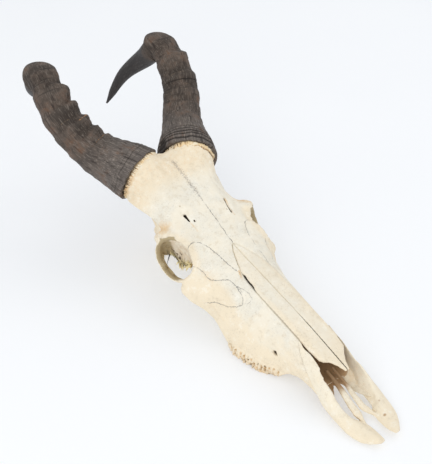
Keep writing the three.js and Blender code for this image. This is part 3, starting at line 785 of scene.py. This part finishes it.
def shape_premaxilla(side):
    """Broad rods, a fuller inner edge, and the left one set further out."""
    def shape(points, normals):
        points = points.copy()
        across, y = np.abs(points[:, 0]), points[:, 1]
        rod = ramp(across, 9.5, 7.5) * ramp(y, -366, -354)
        middle = np.interp(y, [-374, -362, -345, -322], [8, 4.4, 3, 2.7])
        wide = np.interp(y, ROD_WIDER_AT, ROD_WIDER[side])
        shift = np.interp(y, ROD_SHIFT_AT, ROD_SHIFT[side])
        points[:, 0] += rod * side * ((across - middle) * (wide - 1) + shift)
        inner = ramp(normals[:, 0] * side, -0.1, -0.6) * ramp(across, 9, 12)
        inner *= ramp(y, -388, -374) * ramp(y, -316, -332)
        points[:, 0] -= side * 1.8 * inner
        if side > 0:
            body = ramp(across, 8, 17) + (1 - ramp(across, 8, 17)) * ramp(y, -350, -366)
            points[:, 0] += ramp(y, -304, -352) * (1.4 + 5.1 * body) * (1 - 0.5 * ramp(y, -372, -397))
        points[:, 2] = np.maximum(points[:, 2], 0)
        return points
    return shape


def colour_premaxilla(side):
    spots = [(24.5, -359, 15), (17.5, -374, 9.5)] if side > 0 else []

    def colours(points, normals):
        across, y = np.abs(points[:, 0]), points[:, 1]
        inner = ramp(normals[:, 0] * side, 0.2, -0.5) * ramp(y, -352, -325)
        red = np.zeros(len(points))
        for spot in spots:
            red = np.maximum(red, ramp(np.linalg.norm(points - spot, axis=1), 3.2, 0.8))
        rear = inner * ramp(y, -345, -305) * (1 if side < 0 else 0.15)
        rod = ramp(across, 9, 7)
        # Towards the back the rods turn rust brown and black where they meet the palate: painted shade.
        # The red spots are the bone's own colour.
        return {"buff": 0.35 + 0.5 * ramp(points[:, 2], 20, 4), "tan": 0.25 * inner + 0.6 * red,
                "stain": 0.5 * rear + 0.7 * red + 1.3 * ramp(y, -338, -316) * rod,
                "hole": 0.34 * ramp(y, -336, -318) * rod}
    return colours


# ---- Horn -----------------------------------------------------------------------------------

# Rings of the sheath: place as a share of its length, height of the crest and depth of the
# valley that follows it on the horn's front.
RINGS = [(0, 0, 0), (0.06, 0.7, 0.6), (0.1, 1, 0.8), (0.14, 1.4, 1.2), (0.19, 2.2, 2.2),
         (0.255, 3, 2.8), (0.325, 3.6, 3.2), (0.4, 4, 3.4), (0.485, 4.8, 4.2), (0.6, 3.4, 2.2),
         (0.72, 0, 0)]
HORN_RADIUS = [(0, 36.5), (0.04, 35), (0.12, 30), (0.22, 26), (0.4, 23), (0.52, 20), (0.6, 19),
               (0.7, 14.5), (0.82, 10), (0.94, 5.5), (1, 1.2)]
HORN_SPREAD = [(0, 3.5), (0.06, 2.5), (0.15, 0), (1, 0)]
BORE_WALL = 1.4
BEND_TOP = 225  # where the top of the bend starts to close in
# How far each sheath's edge ends above that of the solid, by the turn round the horn.
RIM_LEFT = [(-2.8, -4), (-2.2, -7), (-1.5, -3), (-0.66, -4), (0.1, -4), (0.9, -4), (1.5, -9), (2.2, 0)]
RIM_RIGHT = [(-2.6, 0), (-1.2, -3), (-0.4, -4), (0.4, -3.5), (1.1, -0.5), (1.9, 0.5), (2.3, 2), (2.8, 0)]


def ring_profile(run):
    """Crests that swell slowly towards the tip and drop steeply behind it, and the drop's place."""
    profile, drop = np.zeros(len(run)), np.zeros(len(run))
    for (t0, height0, depth), (t1, height1, _) in zip(RINGS[:-1], RINGS[1:]):
        start, end = t0 * HORN_LENGTH, t1 * HORN_LENGTH
        here = (run >= start) & (run < end)
        past = run[here] - start
        steep = 4.6 + 0.6 * height0
        down = ramp(past, 0, steep)
        rise = np.clip((past - steep) / (end - start - steep), 0, 1)
        rise = np.sin(rise * math.pi / 2) ** 1.25
        profile[here] = (height0 + (-depth - height0) * down) + (height1 + depth) * rise
        drop[here] = min(1, depth / 1.5) * np.exp(-((past - steep * 0.75) / 1.7) ** 2)
    return profile, drop


def horn_finish():
    """Dark dry horn. Fields: run, round_x and round_y in millimetres; groove, crest, mark, smooth,
    base and shelter from 0 to 1.
    """
    finish = Finish("horn sheath", IOR=1.5, Specular_IOR_Level=0.22)
    sheet = finish.node("ShaderNodeCombineXYZ", {}, {
        i: finish.field(name) * MM for i, name in enumerate(("round_x", "round_y", "run"))})
    fibres = finish.noise(1.3, 4, 0.7, stretch=(1, 1, 0.07), place=sheet)
    wisps = finish.noise(4.0, 4, 0.65, stretch=(1, 1, 0.14), place=sheet)
    lines = finish.noise(3.0, 4, 0.6, stretch=(0.05, 0.05, 1), place=sheet)
    patches = finish.noise(26, 5, 0.62)
    flecks = finish.noise(2.4, 3, 0.6)
    smooth, base = finish.field("smooth"), finish.field("base")
    ringed = 1 - smooth
    worn = ringed * (1 - base * 0.8)
    rusty = finish.step(patches, 0.52, 0.70) * finish.step(wisps, 0.36, 0.60) * ringed
    tawny = finish.step(lines, 0.36, 0.30) * finish.step(flecks, 0.45, 0.65) * worn
    mark = finish.step(finish.field("mark"), 0.2, 0.9) * finish.step(flecks, 0.34, 0.56)
    colour = finish.paint(
        (0.043, 0.032, 0.025), (finish.step(patches, 0.38, 0.62), (0.108, 0.080, 0.063)),
        (base * 0.85, (0.130, 0.111, 0.099)),
        (finish.step(fibres, 0.48, 0.70) * (0.40 + base * 0.5), (0.310, 0.265, 0.225)),
        (finish.step(wisps, 0.50, 0.68) * 0.75, (0.026, 0.019, 0.016)),
        (rusty * 0.65, (0.175, 0.088, 0.048)),
        (finish.step(lines, 0.60, 0.70) * worn * 0.6, (0.020, 0.015, 0.012)),
        (tawny * 0.45, (0.30, 0.20, 0.12)),
        (finish.step(flecks, 0.66, 0.76) * worn * 0.5, (0.38, 0.34, 0.29)),
        (finish.step(finish.field("crest"), 0.2, 1.0) * 0.10, (0.17, 0.145, 0.125)),
        (smooth * 0.85, (0.038, 0.036, 0.037)),
        (finish.step(fibres, 0.5, 0.72) * smooth * 0.4, (0.12, 0.115, 0.115)),
        # Near black in the grooves and where the sheath shelters itself: painted shade.
        (finish.patchy("groove", flecks, 0.3, 0.15, 0.9) * 0.85, (0.014, 0.010, 0.008)),
        (mark, (0.42, 0.22, 0.10)),
        (finish.step(finish.field("shelter"), 0.5, 0.95), (0.012, 0.010, 0.009)))
    height = fibres * 0.45 + wisps * 0.5 + lines * worn * 0.4 + flecks * 0.15
    finish.set(Base_Color=colour, Normal=finish.ridges(height, 0.6),
               Roughness=0.58 - smooth * 0.2 + fibres * 0.2)
    return finish.material


def along_horn(own):
    """For each point: its run along the centre line, the line's way there, and its offset."""
    tree = KDTree(len(HORN_POINTS))
    for i, p in enumerate(HORN_POINTS):
        tree.insert(p, i)
    tree.balance()
    near = np.array([tree.find(p)[1] for p in own.tolist()])
    way, off = HORN_WAYS[near], own - HORN_POINTS[near]
    ahead = dot(off, way)
    return HORN_RUN[near] + ahead, way, off - ahead[:, None] * way


def horn_radius(run, way, ray):
    """The plain sheath's radius along each ray, wider sideways at its base."""
    across = np.cross([0, 0, 1], way)
    across /= np.linalg.norm(across, axis=1)[:, None]
    share = np.clip(run / HORN_LENGTH, 0, 1)
    spread = np.interp(share, *zip(*HORN_SPREAD))
    return np.interp(share, *zip(*HORN_RADIUS)) + spread * (1.6 * dot(ray, across) ** 2 - 0.6)


def build_horn(word, side, finish, levels, creases, marks, grooves, rim_reach, hollows):
    """One sheath, with rings of knobs, grooves round its base, a ragged edge and a smooth tip.

    levels: the rings' height at 0, 0.42 and 0.56 of the length. creases and marks: share of the
    length, and the turns between which they lie. grooves: run, half width and depth of each.
    rim_reach: turn, and how far the edge ends above the solid's. hollows: run, turn, half length
    and half width of each. A turn is in radians round the horn, from its front.
    """
    piece = fine_copy(f"horn_{word}", f"horn_sheath_{word}", 1.2)
    points = points_of(piece)
    points = relax(points, edges_of(piece), np.full(len(points), 0.8), 8)
    put_points(piece, points)
    normals = normals_of(piece) * [side, 1, 1]
    own = points * [side, 1, 1]
    run, way, off = along_horn(own)
    out = np.linalg.norm(off, axis=1) + 1e-6
    ray = off / out[:, None]
    facing = dot(ray, normals)
    radius = horn_radius(run, way, ray)
    knob_way = np.array(HORN_FRONTS[side])
    front = np.clip(ray @ knob_way, 0, 1)
    lead = knob_way - (way @ knob_way)[:, None] * way
    lead /= np.linalg.norm(lead, axis=1)[:, None]
    x, y = dot(off, lead), dot(off, np.cross(way, lead))
    turn = np.arctan2(y, x)

    def strip(wide, length, size, shift=0):
        """Noise over the unrolled sheath."""
        return grain(np.stack([x * wide, y * wide, length], 1), size, shift)

    def arc(low, high, soft):
        return ramp(turn, low, low + soft) * ramp(turn, high, high - soft)

    # Rings, and finer rows of grooves between them.
    seed = 11 if side > 0 else 37
    wobble = 2.6 * grain(own, 21, seed) + 1.1 * grain(own, 6, seed)
    profile, drop = ring_profile(run + wobble * ramp(run, 0, 12))
    level = np.interp(run / HORN_LENGTH, [0, 0.42, 0.56, 1], [*levels, 1])
    last = ramp(run, 0.56 * HORN_LENGTH, 0.6 * HORN_LENGTH)
    aside = 0.10 + 0.45 * last
    strength = level * (aside + (1 - aside) * front ** 2.4)
    lift = strength * profile + level * 0.2 * np.clip(profile, 0, 9) * (1 - front)
    # groove paints shade: on the steep drop behind each ring, in the valleys between bands, and in the
    # base grooves, creases and hollows.
    groove = level ** 2 * drop * (0.07 + 0.20 * last + 0.20 * front ** 2)
    ringed = ramp(run, 0.66 * HORN_LENGTH, 0.58 * HORN_LENGTH) * ramp(run, 14, 30)
    bands = strip(0.1, run + 1.2 * wobble, 4.4, seed) + 0.6 * strip(0.2, run + wobble, 2.2, seed + 5)
    lift += ringed * (0.30 + 0.35 * front) * bands
    groove += 0.30 * ringed * ramp(bands, -0.3, -0.75)
    for at, width, deep in grooves:
        bend = 0.30 * wobble + 1.2 * grain(np.stack([turn * 3, run * 0, run * 0], 1), 1, seed)
        here = deep * np.exp(-((run - at + bend) / width) ** 2) * ramp(run, 34, 26)
        lift -= here
        groove += np.clip(here, 0, 1) * 0.9
    for at, low, high in creases:
        line = run - at * HORN_LENGTH + 0.5 * wobble
        lip = 0.7 * np.exp(-((line + 1.7) / 1.3) ** 2) - 1.0 * np.exp(-(line / 0.9) ** 2)
        lift += arc(low, high, 0.3) * lip
        groove += arc(low, high, 0.3) * np.exp(-(line / 0.8) ** 2)
    mark = np.zeros(len(run))
    for at, low, high in marks:
        line = run - at * HORN_LENGTH + 0.8 * wobble
        mark = np.maximum(mark, arc(low, high, 0.15) * np.exp(-(line / 0.7) ** 2))
    fibres = strip(1, run / 9, 1.6, seed) + 0.8 * strip(1, run / 7, 4, seed)
    lift += 0.16 * fibres * ramp(run, 0.95 * HORN_LENGTH, 0.8 * HORN_LENGTH)
    lift += 0.3 * grain(own, 24, seed)

    # The outer skin takes the relief, and the bore keeps a wall below it.
    skin = ramp(facing, 0.1, 0.5) * ramp(np.abs(out - radius), 9, 6)
    skin *= ramp(run, HORN_LENGTH, HORN_LENGTH - 2)
    relief = radius + lift * ramp(run, -1, 3)
    moved = out + skin * (relief - out)
    bore = ramp(-facing, 0.1, 0.5) * ramp(run, 52, 44)
    moved -= bore * np.maximum(out - relief + BORE_WALL, 0)
    own = own + (moved - out)[:, None] * ray
    torn = ramp(run, 11, 0) * (out > radius - 7)
    reach = np.interp(turn, *zip(*rim_reach)) + 1.1 * grain(own, 7, seed) + 0.5 * grain(own, 2.4, seed)
    own += (torn * reach)[:, None] * way
    for at, around, long, wide in hollows:
        close = np.exp(-(((run - at) / long) ** 2 + ((turn - around) * radius / wide) ** 2) ** 2)
        own -= (3.2 * close)[:, None] * ray
        groove = np.maximum(groove, 1.3 * close)
    # The top of the bend closes in a round below the top of the solid.
    room = solid_box[1][2] / MM - BEND_TOP
    over = np.maximum(own[:, 2] - BEND_TOP, 0) / room
    own[:, 2] = np.minimum(own[:, 2], BEND_TOP) + room * np.tanh(over)
    put_points(piece, own * [side, 1, 1])
    keep_fields(
        piece, run=run, round_x=x, round_y=y, groove=np.clip(groove, 0, 1), mark=mark,
        base=ramp(run + 6 * grain(own, 15, seed), 0.30 * HORN_LENGTH, 0.04 * HORN_LENGTH),
        smooth=ramp(run + 4 * grain(own, 12, seed), 0.62 * HORN_LENGTH, 0.68 * HORN_LENGTH),
        crest=ringed * ramp(profile, 0.4, 4), shelter=shelter_of(piece, 40, 6))
    finish_piece(piece, finish, "horn", f"horn_{word}")


# ---- Dried rim between bone and sheath ------------------------------------------------------

def rim_finish():
    """Ivory strands with rusty and black gaps; the field gap is 1 between strands."""
    finish = Finish("dried rim", IOR=1.45, Specular_IOR_Level=0.3)
    hair = finish.noise(1.2, 3, 0.6)
    patch = finish.noise(9, 3, 0.6)
    gap = finish.field("gap") + hair * 0.7 - 0.35
    colour = finish.paint(
        (0.95, 0.85, 0.65), (finish.step(patch, 0.34, 0.58), (0.87, 0.67, 0.40)),
        # Between the strands: rust brown that is partly the rim's own colour and partly painted shade,
        # and black painted shade deepest in the gaps.
        (finish.step(gap, 0.25, 0.70) * 0.8, (0.56, 0.33, 0.15)), (finish.step(gap, 0.70, 1.05), SHADE_BLACK))
    finish.set(Base_Color=colour, Normal=finish.ridges(hair, 0.5), Roughness=0.6 + hair * 0.25)
    return finish.material


COLUMNS, STRANDS = 640, 74
RAY_START, RAY_LENGTH = 56, 34


def build_rim(skull, name, side, finish, rim_reach, longest, rolled, dark_share):
    """A ragged fringe of strands on the bone along the edge of one sheath.

    longest: the longest strand. rolled: 1 where the outer half is a roll with painted shade below
    it, 0 where it is a plain fringe. dark_share: how dark the painted shade between the strands is.
    """
    tree = tree_of(skull.data)
    rng = np.random.default_rng(21 if side > 0 else 22)
    way = HORN_WAYS[0]
    across = np.cross([0, 0, 1], way)
    across /= np.linalg.norm(across)
    up = np.cross(way, across)
    lead = np.array(HORN_FRONTS[side]) - (way @ HORN_FRONTS[side]) * way
    lead /= np.linalg.norm(lead)
    ticks = np.linspace(0, COLUMNS, STRANDS + 1)

    def by_strand(low, high, last, scale=1.0):
        values = rng.uniform(low, high, STRANDS) * scale
        return np.interp(range(COLUMNS), ticks, np.append(values, last))

    reach = by_strand(0.35, 1, 4.0, longest)
    height = by_strand(0.6, 2.4, 1.0)
    depth = by_strand(0.5, 1.5, 0.8, dark_share)
    width = by_strand(0.3, 1.8, 1.0)
    phase = np.cumsum(width * rng.uniform(0.4, 1.6, COLUMNS)) * 2 * math.pi * STRANDS / COLUMNS
    body = bmesh.new()
    gaps = []
    previous = None
    for k in range(COLUMNS):
        angle = 2 * math.pi * k / COLUMNS
        out = across * math.cos(angle) + up * math.sin(angle)
        edge = 37.2 + 3.5 * (1.6 * math.cos(angle) ** 2 - 0.6)
        crown = 0.5 + 0.5 * math.cos(phase[k])
        broken = max(0.0, -math.cos(angle)) ** 4
        roll = rolled * float(np.clip(0.2 - math.cos(angle), 0, 1) * np.clip(math.sin(angle) * 4, 0, 1))
        turn = math.atan2(out @ np.cross(way, lead), out @ lead)
        border = float(np.interp(turn, *zip(*rim_reach))) - 1.2
        long = reach[k] * (1 - 0.6 * roll) + 5.5 * roll
        ray = Vector(-out * [side, 1, 1])
        column = []
        # From the strand's tip, at 1, to where it ends below the sheath, at -1.
        for share in (1.0, 0.8, 0.6, 0.4, 0.2, 0.0, -0.5, -1.0):
            along = border - (long if share > 0 else 2.2) * share
            start = to_world((HORN_POINTS[0] + way * along + out * RAY_START) * [side, 1, 1])
            hit = tree.ray_cast(start, ray, RAY_LENGTH * MM)[0]
            # Bone more than 4 mm outside the sheath's edge carries no fringe near it.
            if hit is None or share < 0.5 and (hit - start).length < (RAY_START - 4 - edge) * MM:
                column = None
                break
            crest = math.exp(-((share - 0.2 - 0.15 * roll) / 0.4) ** 2)
            crown = crown * (1 - 0.6 * roll) + 0.6 * roll  # each row of the roll is fuller
            rise = 0.1 + height[k] * (crown + broken * rng.uniform(0, 1)) * crest * rng.uniform(0.6, 1.3)
            rise -= 0.9 * max(-share, 0)
            column.append(body.verts.new(hit - ray * MM * rise))
            # Painted shade: dark in the valleys between strands, below the sheath's edge and below the
            # roll, with random dark on the broken side.
            dark = depth[k] * (1 - crown) * (1.3 - 0.6 * abs(share)) + 0.5 * max(-share, 0)
            dark += roll * (share > 0.7) * rng.uniform(0.3, 1.1)
            gaps.append(dark * rng.uniform(0.6, 1.3) + broken * rng.uniform(0, 0.7))
        if column and previous:
            for corners in zip(previous, previous[1:], column[1:], column):
                body.faces.new(corners)
        previous = column
    body.verts.index_update()
    field = body.verts.layers.float.new("gap")
    for corner, value in zip(body.verts, gaps):
        corner[field] = value
    bmesh.ops.delete(body, geom=[v for v in body.verts if not v.link_faces], context="VERTS")
    bmesh.ops.recalc_face_normals(body, faces=body.faces)
    mesh = bpy.data.meshes.new(name)
    body.to_mesh(mesh)
    body.free()
    piece = add_object(name, mesh)
    thicken(piece, 0.5, -1)
    finish_piece(piece, finish, "skull_bone")


# ---- Linings of the orbits and the nose -----------------------------------------------------

# The thin wall inside the right orbit, from its front edge over the top to the bottom:
# a point of the rim and the point where the wall breaks off.
ORBIT_WALL = [
    ((-52.5, -123.5, 79), (-44, -114.3, 71.3)), ((-50, -115, 86.5), (-43, -103.9, 64.8)),
    ((-47.5, -103, 92.5), (-42, -97.7, 59.5)), ((-49, -95, 94.8), (-42, -91.3, 53.2)),
    ((-52, -87, 96), (-42, -84.8, 51)), ((-56, -81, 96), (-43, -79.6, 51.9)),
    ((-60, -77, 95), (-44, -72.8, 56.8)), ((-64, -73.5, 92), (-48, -66.4, 58.5)),
    ((-68, -71, 88), (-53, -67, 60.9)), ((-70.2, -70.5, 82.5), (-57, -67.5, 63.1)),
    ((-71.8, -74.5, 71), (-60, -71.5, 60.8)), ((-72, -79, 64), (-60.5, -75, 58.6)),
    ((-71, -86, 59), (-61, -82, 56)), ((-70, -92, 55), (-60, -89.2, 53.5)),
    ((-69, -99, 54), (-59.5, -95, 50.6)), ((-68, -106, 54), (-60, -102.3, 52)),
    ((-65, -118, 59.5), (-61.5, -112.4, 57.6)),
]
# Cracks of the wall, by their two ends.
WALL_CRACKS = [((-46, -67.7, 68.2), (-43, -82, 63.3)), ((-42, -79.3, 68.5), (-42, -84.6, 67.8)),
               ((-43, -77, 60), (-43, -88, 58))]


def wall_finish():
    """Fields: olive at the back of the orbit, torn at the broken edge, crack."""
    finish = Finish("orbit wall", IOR=1.45, Specular_IOR_Level=0.25)
    clouds = finish.noise(9, 4, 0.6)
    specks = finish.noise(2.2, 3, 0.65)
    olive = finish.patchy("olive", specks, 0.5, 0.2, 0.8)
    colour = finish.paint(
        (0.88, 0.80, 0.66), (finish.step(clouds, 0.35, 0.65), (0.74, 0.62, 0.46)), (olive, OLIVE),
        (finish.step(clouds, 0.54, 0.66) * olive * 0.8, (0.24, 0.145, 0.06)),
        (finish.patchy("torn", specks, 0.8, 0.2, 0.8) * 0.8, (0.82, 0.72, 0.40)),
        (finish.patchy("torn", specks, 1.2, 0.86, 1.1) * 0.8, (0.13, 0.075, 0.03)),
        (finish.step(finish.field("crack"), 0.3, 0.9), (0.16, 0.11, 0.065)))
    finish.set(Base_Color=colour, Normal=finish.ridges(clouds * 0.6 + specks * 0.6, 0.6),
               Roughness=0.6 + specks * 0.2)
    return finish.material


def build_orbit_wall(name, side, finish):
    """A curved shell from the rim inwards, with a torn edge."""
    rows, per = 13, 9
    outer, inner = (np.array(list(ends), float) for ends in zip(*ORBIT_WALL))
    stops = np.linspace(0, len(outer) - 1, (len(outer) - 1) * per + 1)
    spread = [np.stack([np.interp(stops, range(len(outer)), path[:, k]) for k in range(3)], 1)
              for path in (outer, inner)]
    rng = np.random.default_rng(3)
    jag = 1 + rng.uniform(-0.16, 0.10, len(stops)) * ramp(stops, 8.5, 6.5)
    jag[::4] += rng.uniform(0, 0.12, len(stops[::4])) * ramp(stops[::4], 8, 6)
    swell = 9 * ramp(stops, 11.5, 8) + 1.5
    points, torn = [], []
    for w in np.linspace(0, 1, rows):
        row = spread[0] + (spread[1] - spread[0]) * (w * jag)[:, None]
        row = row + (swell * math.sin(math.pi * min(1, w * 0.95)))[:, None] * VIEW_IN
        row += 0.5 * grain(row, 6, 2)[:, None] * VIEW_IN
        points.append(row)
        torn.append(ramp(w, 0.62, 1) * ramp(stops, 8, 6))
    points = np.concatenate(points)
    crack = np.zeros(len(points))
    for start, end in WALL_CRACKS:
        flat = [q - (q @ VIEW_IN)[..., None] * VIEW_IN for q in (points, np.array([start, end]))]
        crack = np.maximum(crack, ramp(to_path(*flat)[1], 1.3, 0.3))
    points[:, 0] *= -side
    if side > 0:
        points = spread_left_orbit(points)
    count = len(stops)
    faces = [(r * count + i, r * count + i + 1, (r + 1) * count + i + 1, (r + 1) * count + i)
             for r in range(rows - 1) for i in range(count - 1)]
    mesh = bpy.data.meshes.new(name)
    mesh.from_pydata([to_world(q) for q in points], [], faces)
    piece = add_object(name, mesh)
    keep_fields(piece, olive=np.tile(ramp(stops, 4.6, 6.4), rows), torn=np.concatenate(torn), crack=crack)
    thicken(piece, 0.7, 0)
    finish_piece(piece, finish, "skull_bone")


def build_splinters(name, finish):
    """Broken slivers of thin bone along the torn edge, and one dark dried shred."""
    rng = np.random.default_rng(8)
    edge = np.array([q for _, q in ORBIT_WALL[:8]], float)
    shards = []
    for k in range(20):
        t = rng.uniform(0.2, 5.6)
        base = np.array([np.interp(t, range(8), edge[:, i]) for i in range(3)])
        base += rng.uniform(-1.5, 1.5, 3) + VIEW_IN * rng.uniform(0, 3)
        way = np.array([rng.uniform(-0.6, 0.4), rng.uniform(-0.7, 0.5), rng.uniform(-1.0, 0.2)])
        shards.append((base, way / np.linalg.norm(way), rng.uniform(3.5, 8), rng.uniform(0.6, 1.5),
                       rng.uniform(0, 1)))
    shards.append((np.array([-50, -69.2, 61.5]), np.array([-0.13, 0.2, -0.97]), 17, 0.75, 2))
    pieces = []
    for base, way, length, width, tone in shards:
        bpy.ops.object.select_all(action="DESELECT")
        bpy.ops.mesh.primitive_cone_add(vertices=10, radius1=width * MM, radius2=0.25 * width * MM,
                                        depth=length * MM, location=to_world(base + way * length / 2),
                                        rotation=Vector(way).to_track_quat("Z", "Y").to_euler())
        shard = bpy.context.active_object
        bpy.ops.object.mode_set(mode="EDIT")
        bpy.ops.mesh.subdivide(number_cuts=2)
        bpy.ops.object.mode_set(mode="OBJECT")
        bpy.ops.object.transform_apply()
        keep_fields(shard, tone=tone)
        pieces.append(shard)
    for shard in pieces:
        shard.select_set(True)
    bpy.context.view_layer.objects.active = pieces[0]
    bpy.ops.object.join()
    piece = bpy.context.active_object
    piece.name = piece.data.name = name
    bpy.context.scene.cursor.location = (0, 0, 0)
    bpy.ops.object.origin_set(type="ORIGIN_CURSOR")
    points = points_of(piece)
    points += 0.45 * np.stack([grain(points, 1.8, k) for k in range(3)], 1)
    put_points(piece, points)
    finish_piece(piece, finish, "skull_bone")


def splinter_finish():
    """The field tone is below 1 on the slivers, and 2 on the dark shred."""
    finish = Finish("torn thin bone", IOR=1.45, Specular_IOR_Level=0.3)
    grit = finish.noise(1.6, 3, 0.6)
    colour = finish.paint(
        (0.90, 0.80, 0.48), (finish.patchy("tone", grit, 0.6, 0.5, 0.9), (0.42, 0.29, 0.13)),
        (finish.step(finish.field("tone"), 1.4, 1.6), (0.05, 0.048, 0.055)))
    finish.set(Base_Color=colour, Normal=finish.ridges(grit, 0.4), Roughness=0.6 + grit * 0.2)
    return finish.material


# The notched front of the palate, below the opening of the nose.
PALATE_EDGE = [(-22, -352), (-18.5, -346), (-15.5, -338), (-11.5, -328), (-7, -320), (-3.5, -315),
               (0, -317), (4, -316), (8, -318), (11.2, -323), (15, -332), (19, -342), (24, -350),
               (27, -354)]


def build_palate_front(name, finish):
    bpy.ops.object.select_all(action="DESELECT")
    bpy.ops.mesh.primitive_grid_add(x_subdivisions=110, y_subdivisions=44, size=1)
    piece = bpy.context.active_object
    piece.name = piece.data.name = name
    raw = np.empty(len(piece.data.vertices) * 3)
    piece.data.vertices.foreach_get("co", raw)
    raw = raw.reshape(-1, 3) + [0.5, 0.5, 0]
    x = -22 + 49 * raw[:, 0]
    edge = np.interp(x, *zip(*PALATE_EDGE)) + 0.7 * grain(np.stack([x, x * 0, x * 0], 1), 1.7)
    y = -306 + (edge + 306) * raw[:, 1]
    z = 8.5 + 10 * ramp(y, -328, -308) + 0.006 * x ** 2 + 1.6 * np.exp(-(x / 2.2) ** 2)
    points = np.stack([x, y, z + 0.4 * grain(np.stack([x, y, x * 0], 1), 3)], 1)
    put_points(piece, points)
    thicken(piece, 1.6, -1)
    x, y, _ = points_of(piece).T
    # The rust brown towards the back, where the plate meets the palate, is painted shade.
    keep_fields(piece, buff=0.5, tan=0.4 * ramp(y, -340, -320), olive=0, hole=0, shelter=0,
                stain=0.95 * ramp(y, -334, -314) * ramp(x, 18, 8))
    finish_piece(piece, finish, "skull_bone")


# ---- Assembly -------------------------------------------------------------------------------

place_camera()
light_studio()

skull = build_skull()
nasal = bone_finish("nasal bone", COOL, CREAM, False)
jaw = bone_finish("jaw bone", IVORY, CREAM, False)
for side, word in ((1, "left"), (-1, "right")):
    build_small_bone(f"nasal_{word}", f"nasal_bone_{word}", 1.0, nasal, "nasal_bone",
                     shape_nasal(side), colour_nasal)
    build_small_bone(f"premaxilla_{word}", f"jaw_tip_{word}", 1.05, jaw, "jaw_bone",
                     shape_premaxilla(side), colour_premaxilla(side))
horn = horn_finish()
build_horn("left", 1, horn, (0.30, 0.45, 1.3), [(0.37, -1.8, 1.2)], [],
           [(5, 1.0, 1.5), (9.5, 0.9, 1.3), (14, 1.1, 1.7), (19.5, 1.0, 1.0), (25, 1.0, 0.8)],
           RIM_LEFT, [(2, -1.75, 12, 8)])
build_horn("right", -1, horn, (0.8, 0.95, 1.0), [], [(0.33, -0.9, 0.6), (0.2, -0.7, 0.9)],
           [(6, 0.6, 0.6), (10, 0.6, 0.8), (14.5, 0.7, 0.6), (20, 0.6, 0.4)], RIM_RIGHT, [])
dried = rim_finish()
build_rim(skull, "dried_rim_left", 1, dried, RIM_LEFT, 8.5, 1.0, 1.0)
build_rim(skull, "dried_rim_right", -1, dried, RIM_RIGHT, 6.0, 0.0, 0.7)
thin_bone = wall_finish()
build_orbit_wall("orbit_wall_right", -1, thin_bone)
build_orbit_wall("orbit_wall_left", 1, thin_bone)
build_splinters("orbit_splinters", splinter_finish())
build_palate_front("palate_front", jaw)
lay_floor()
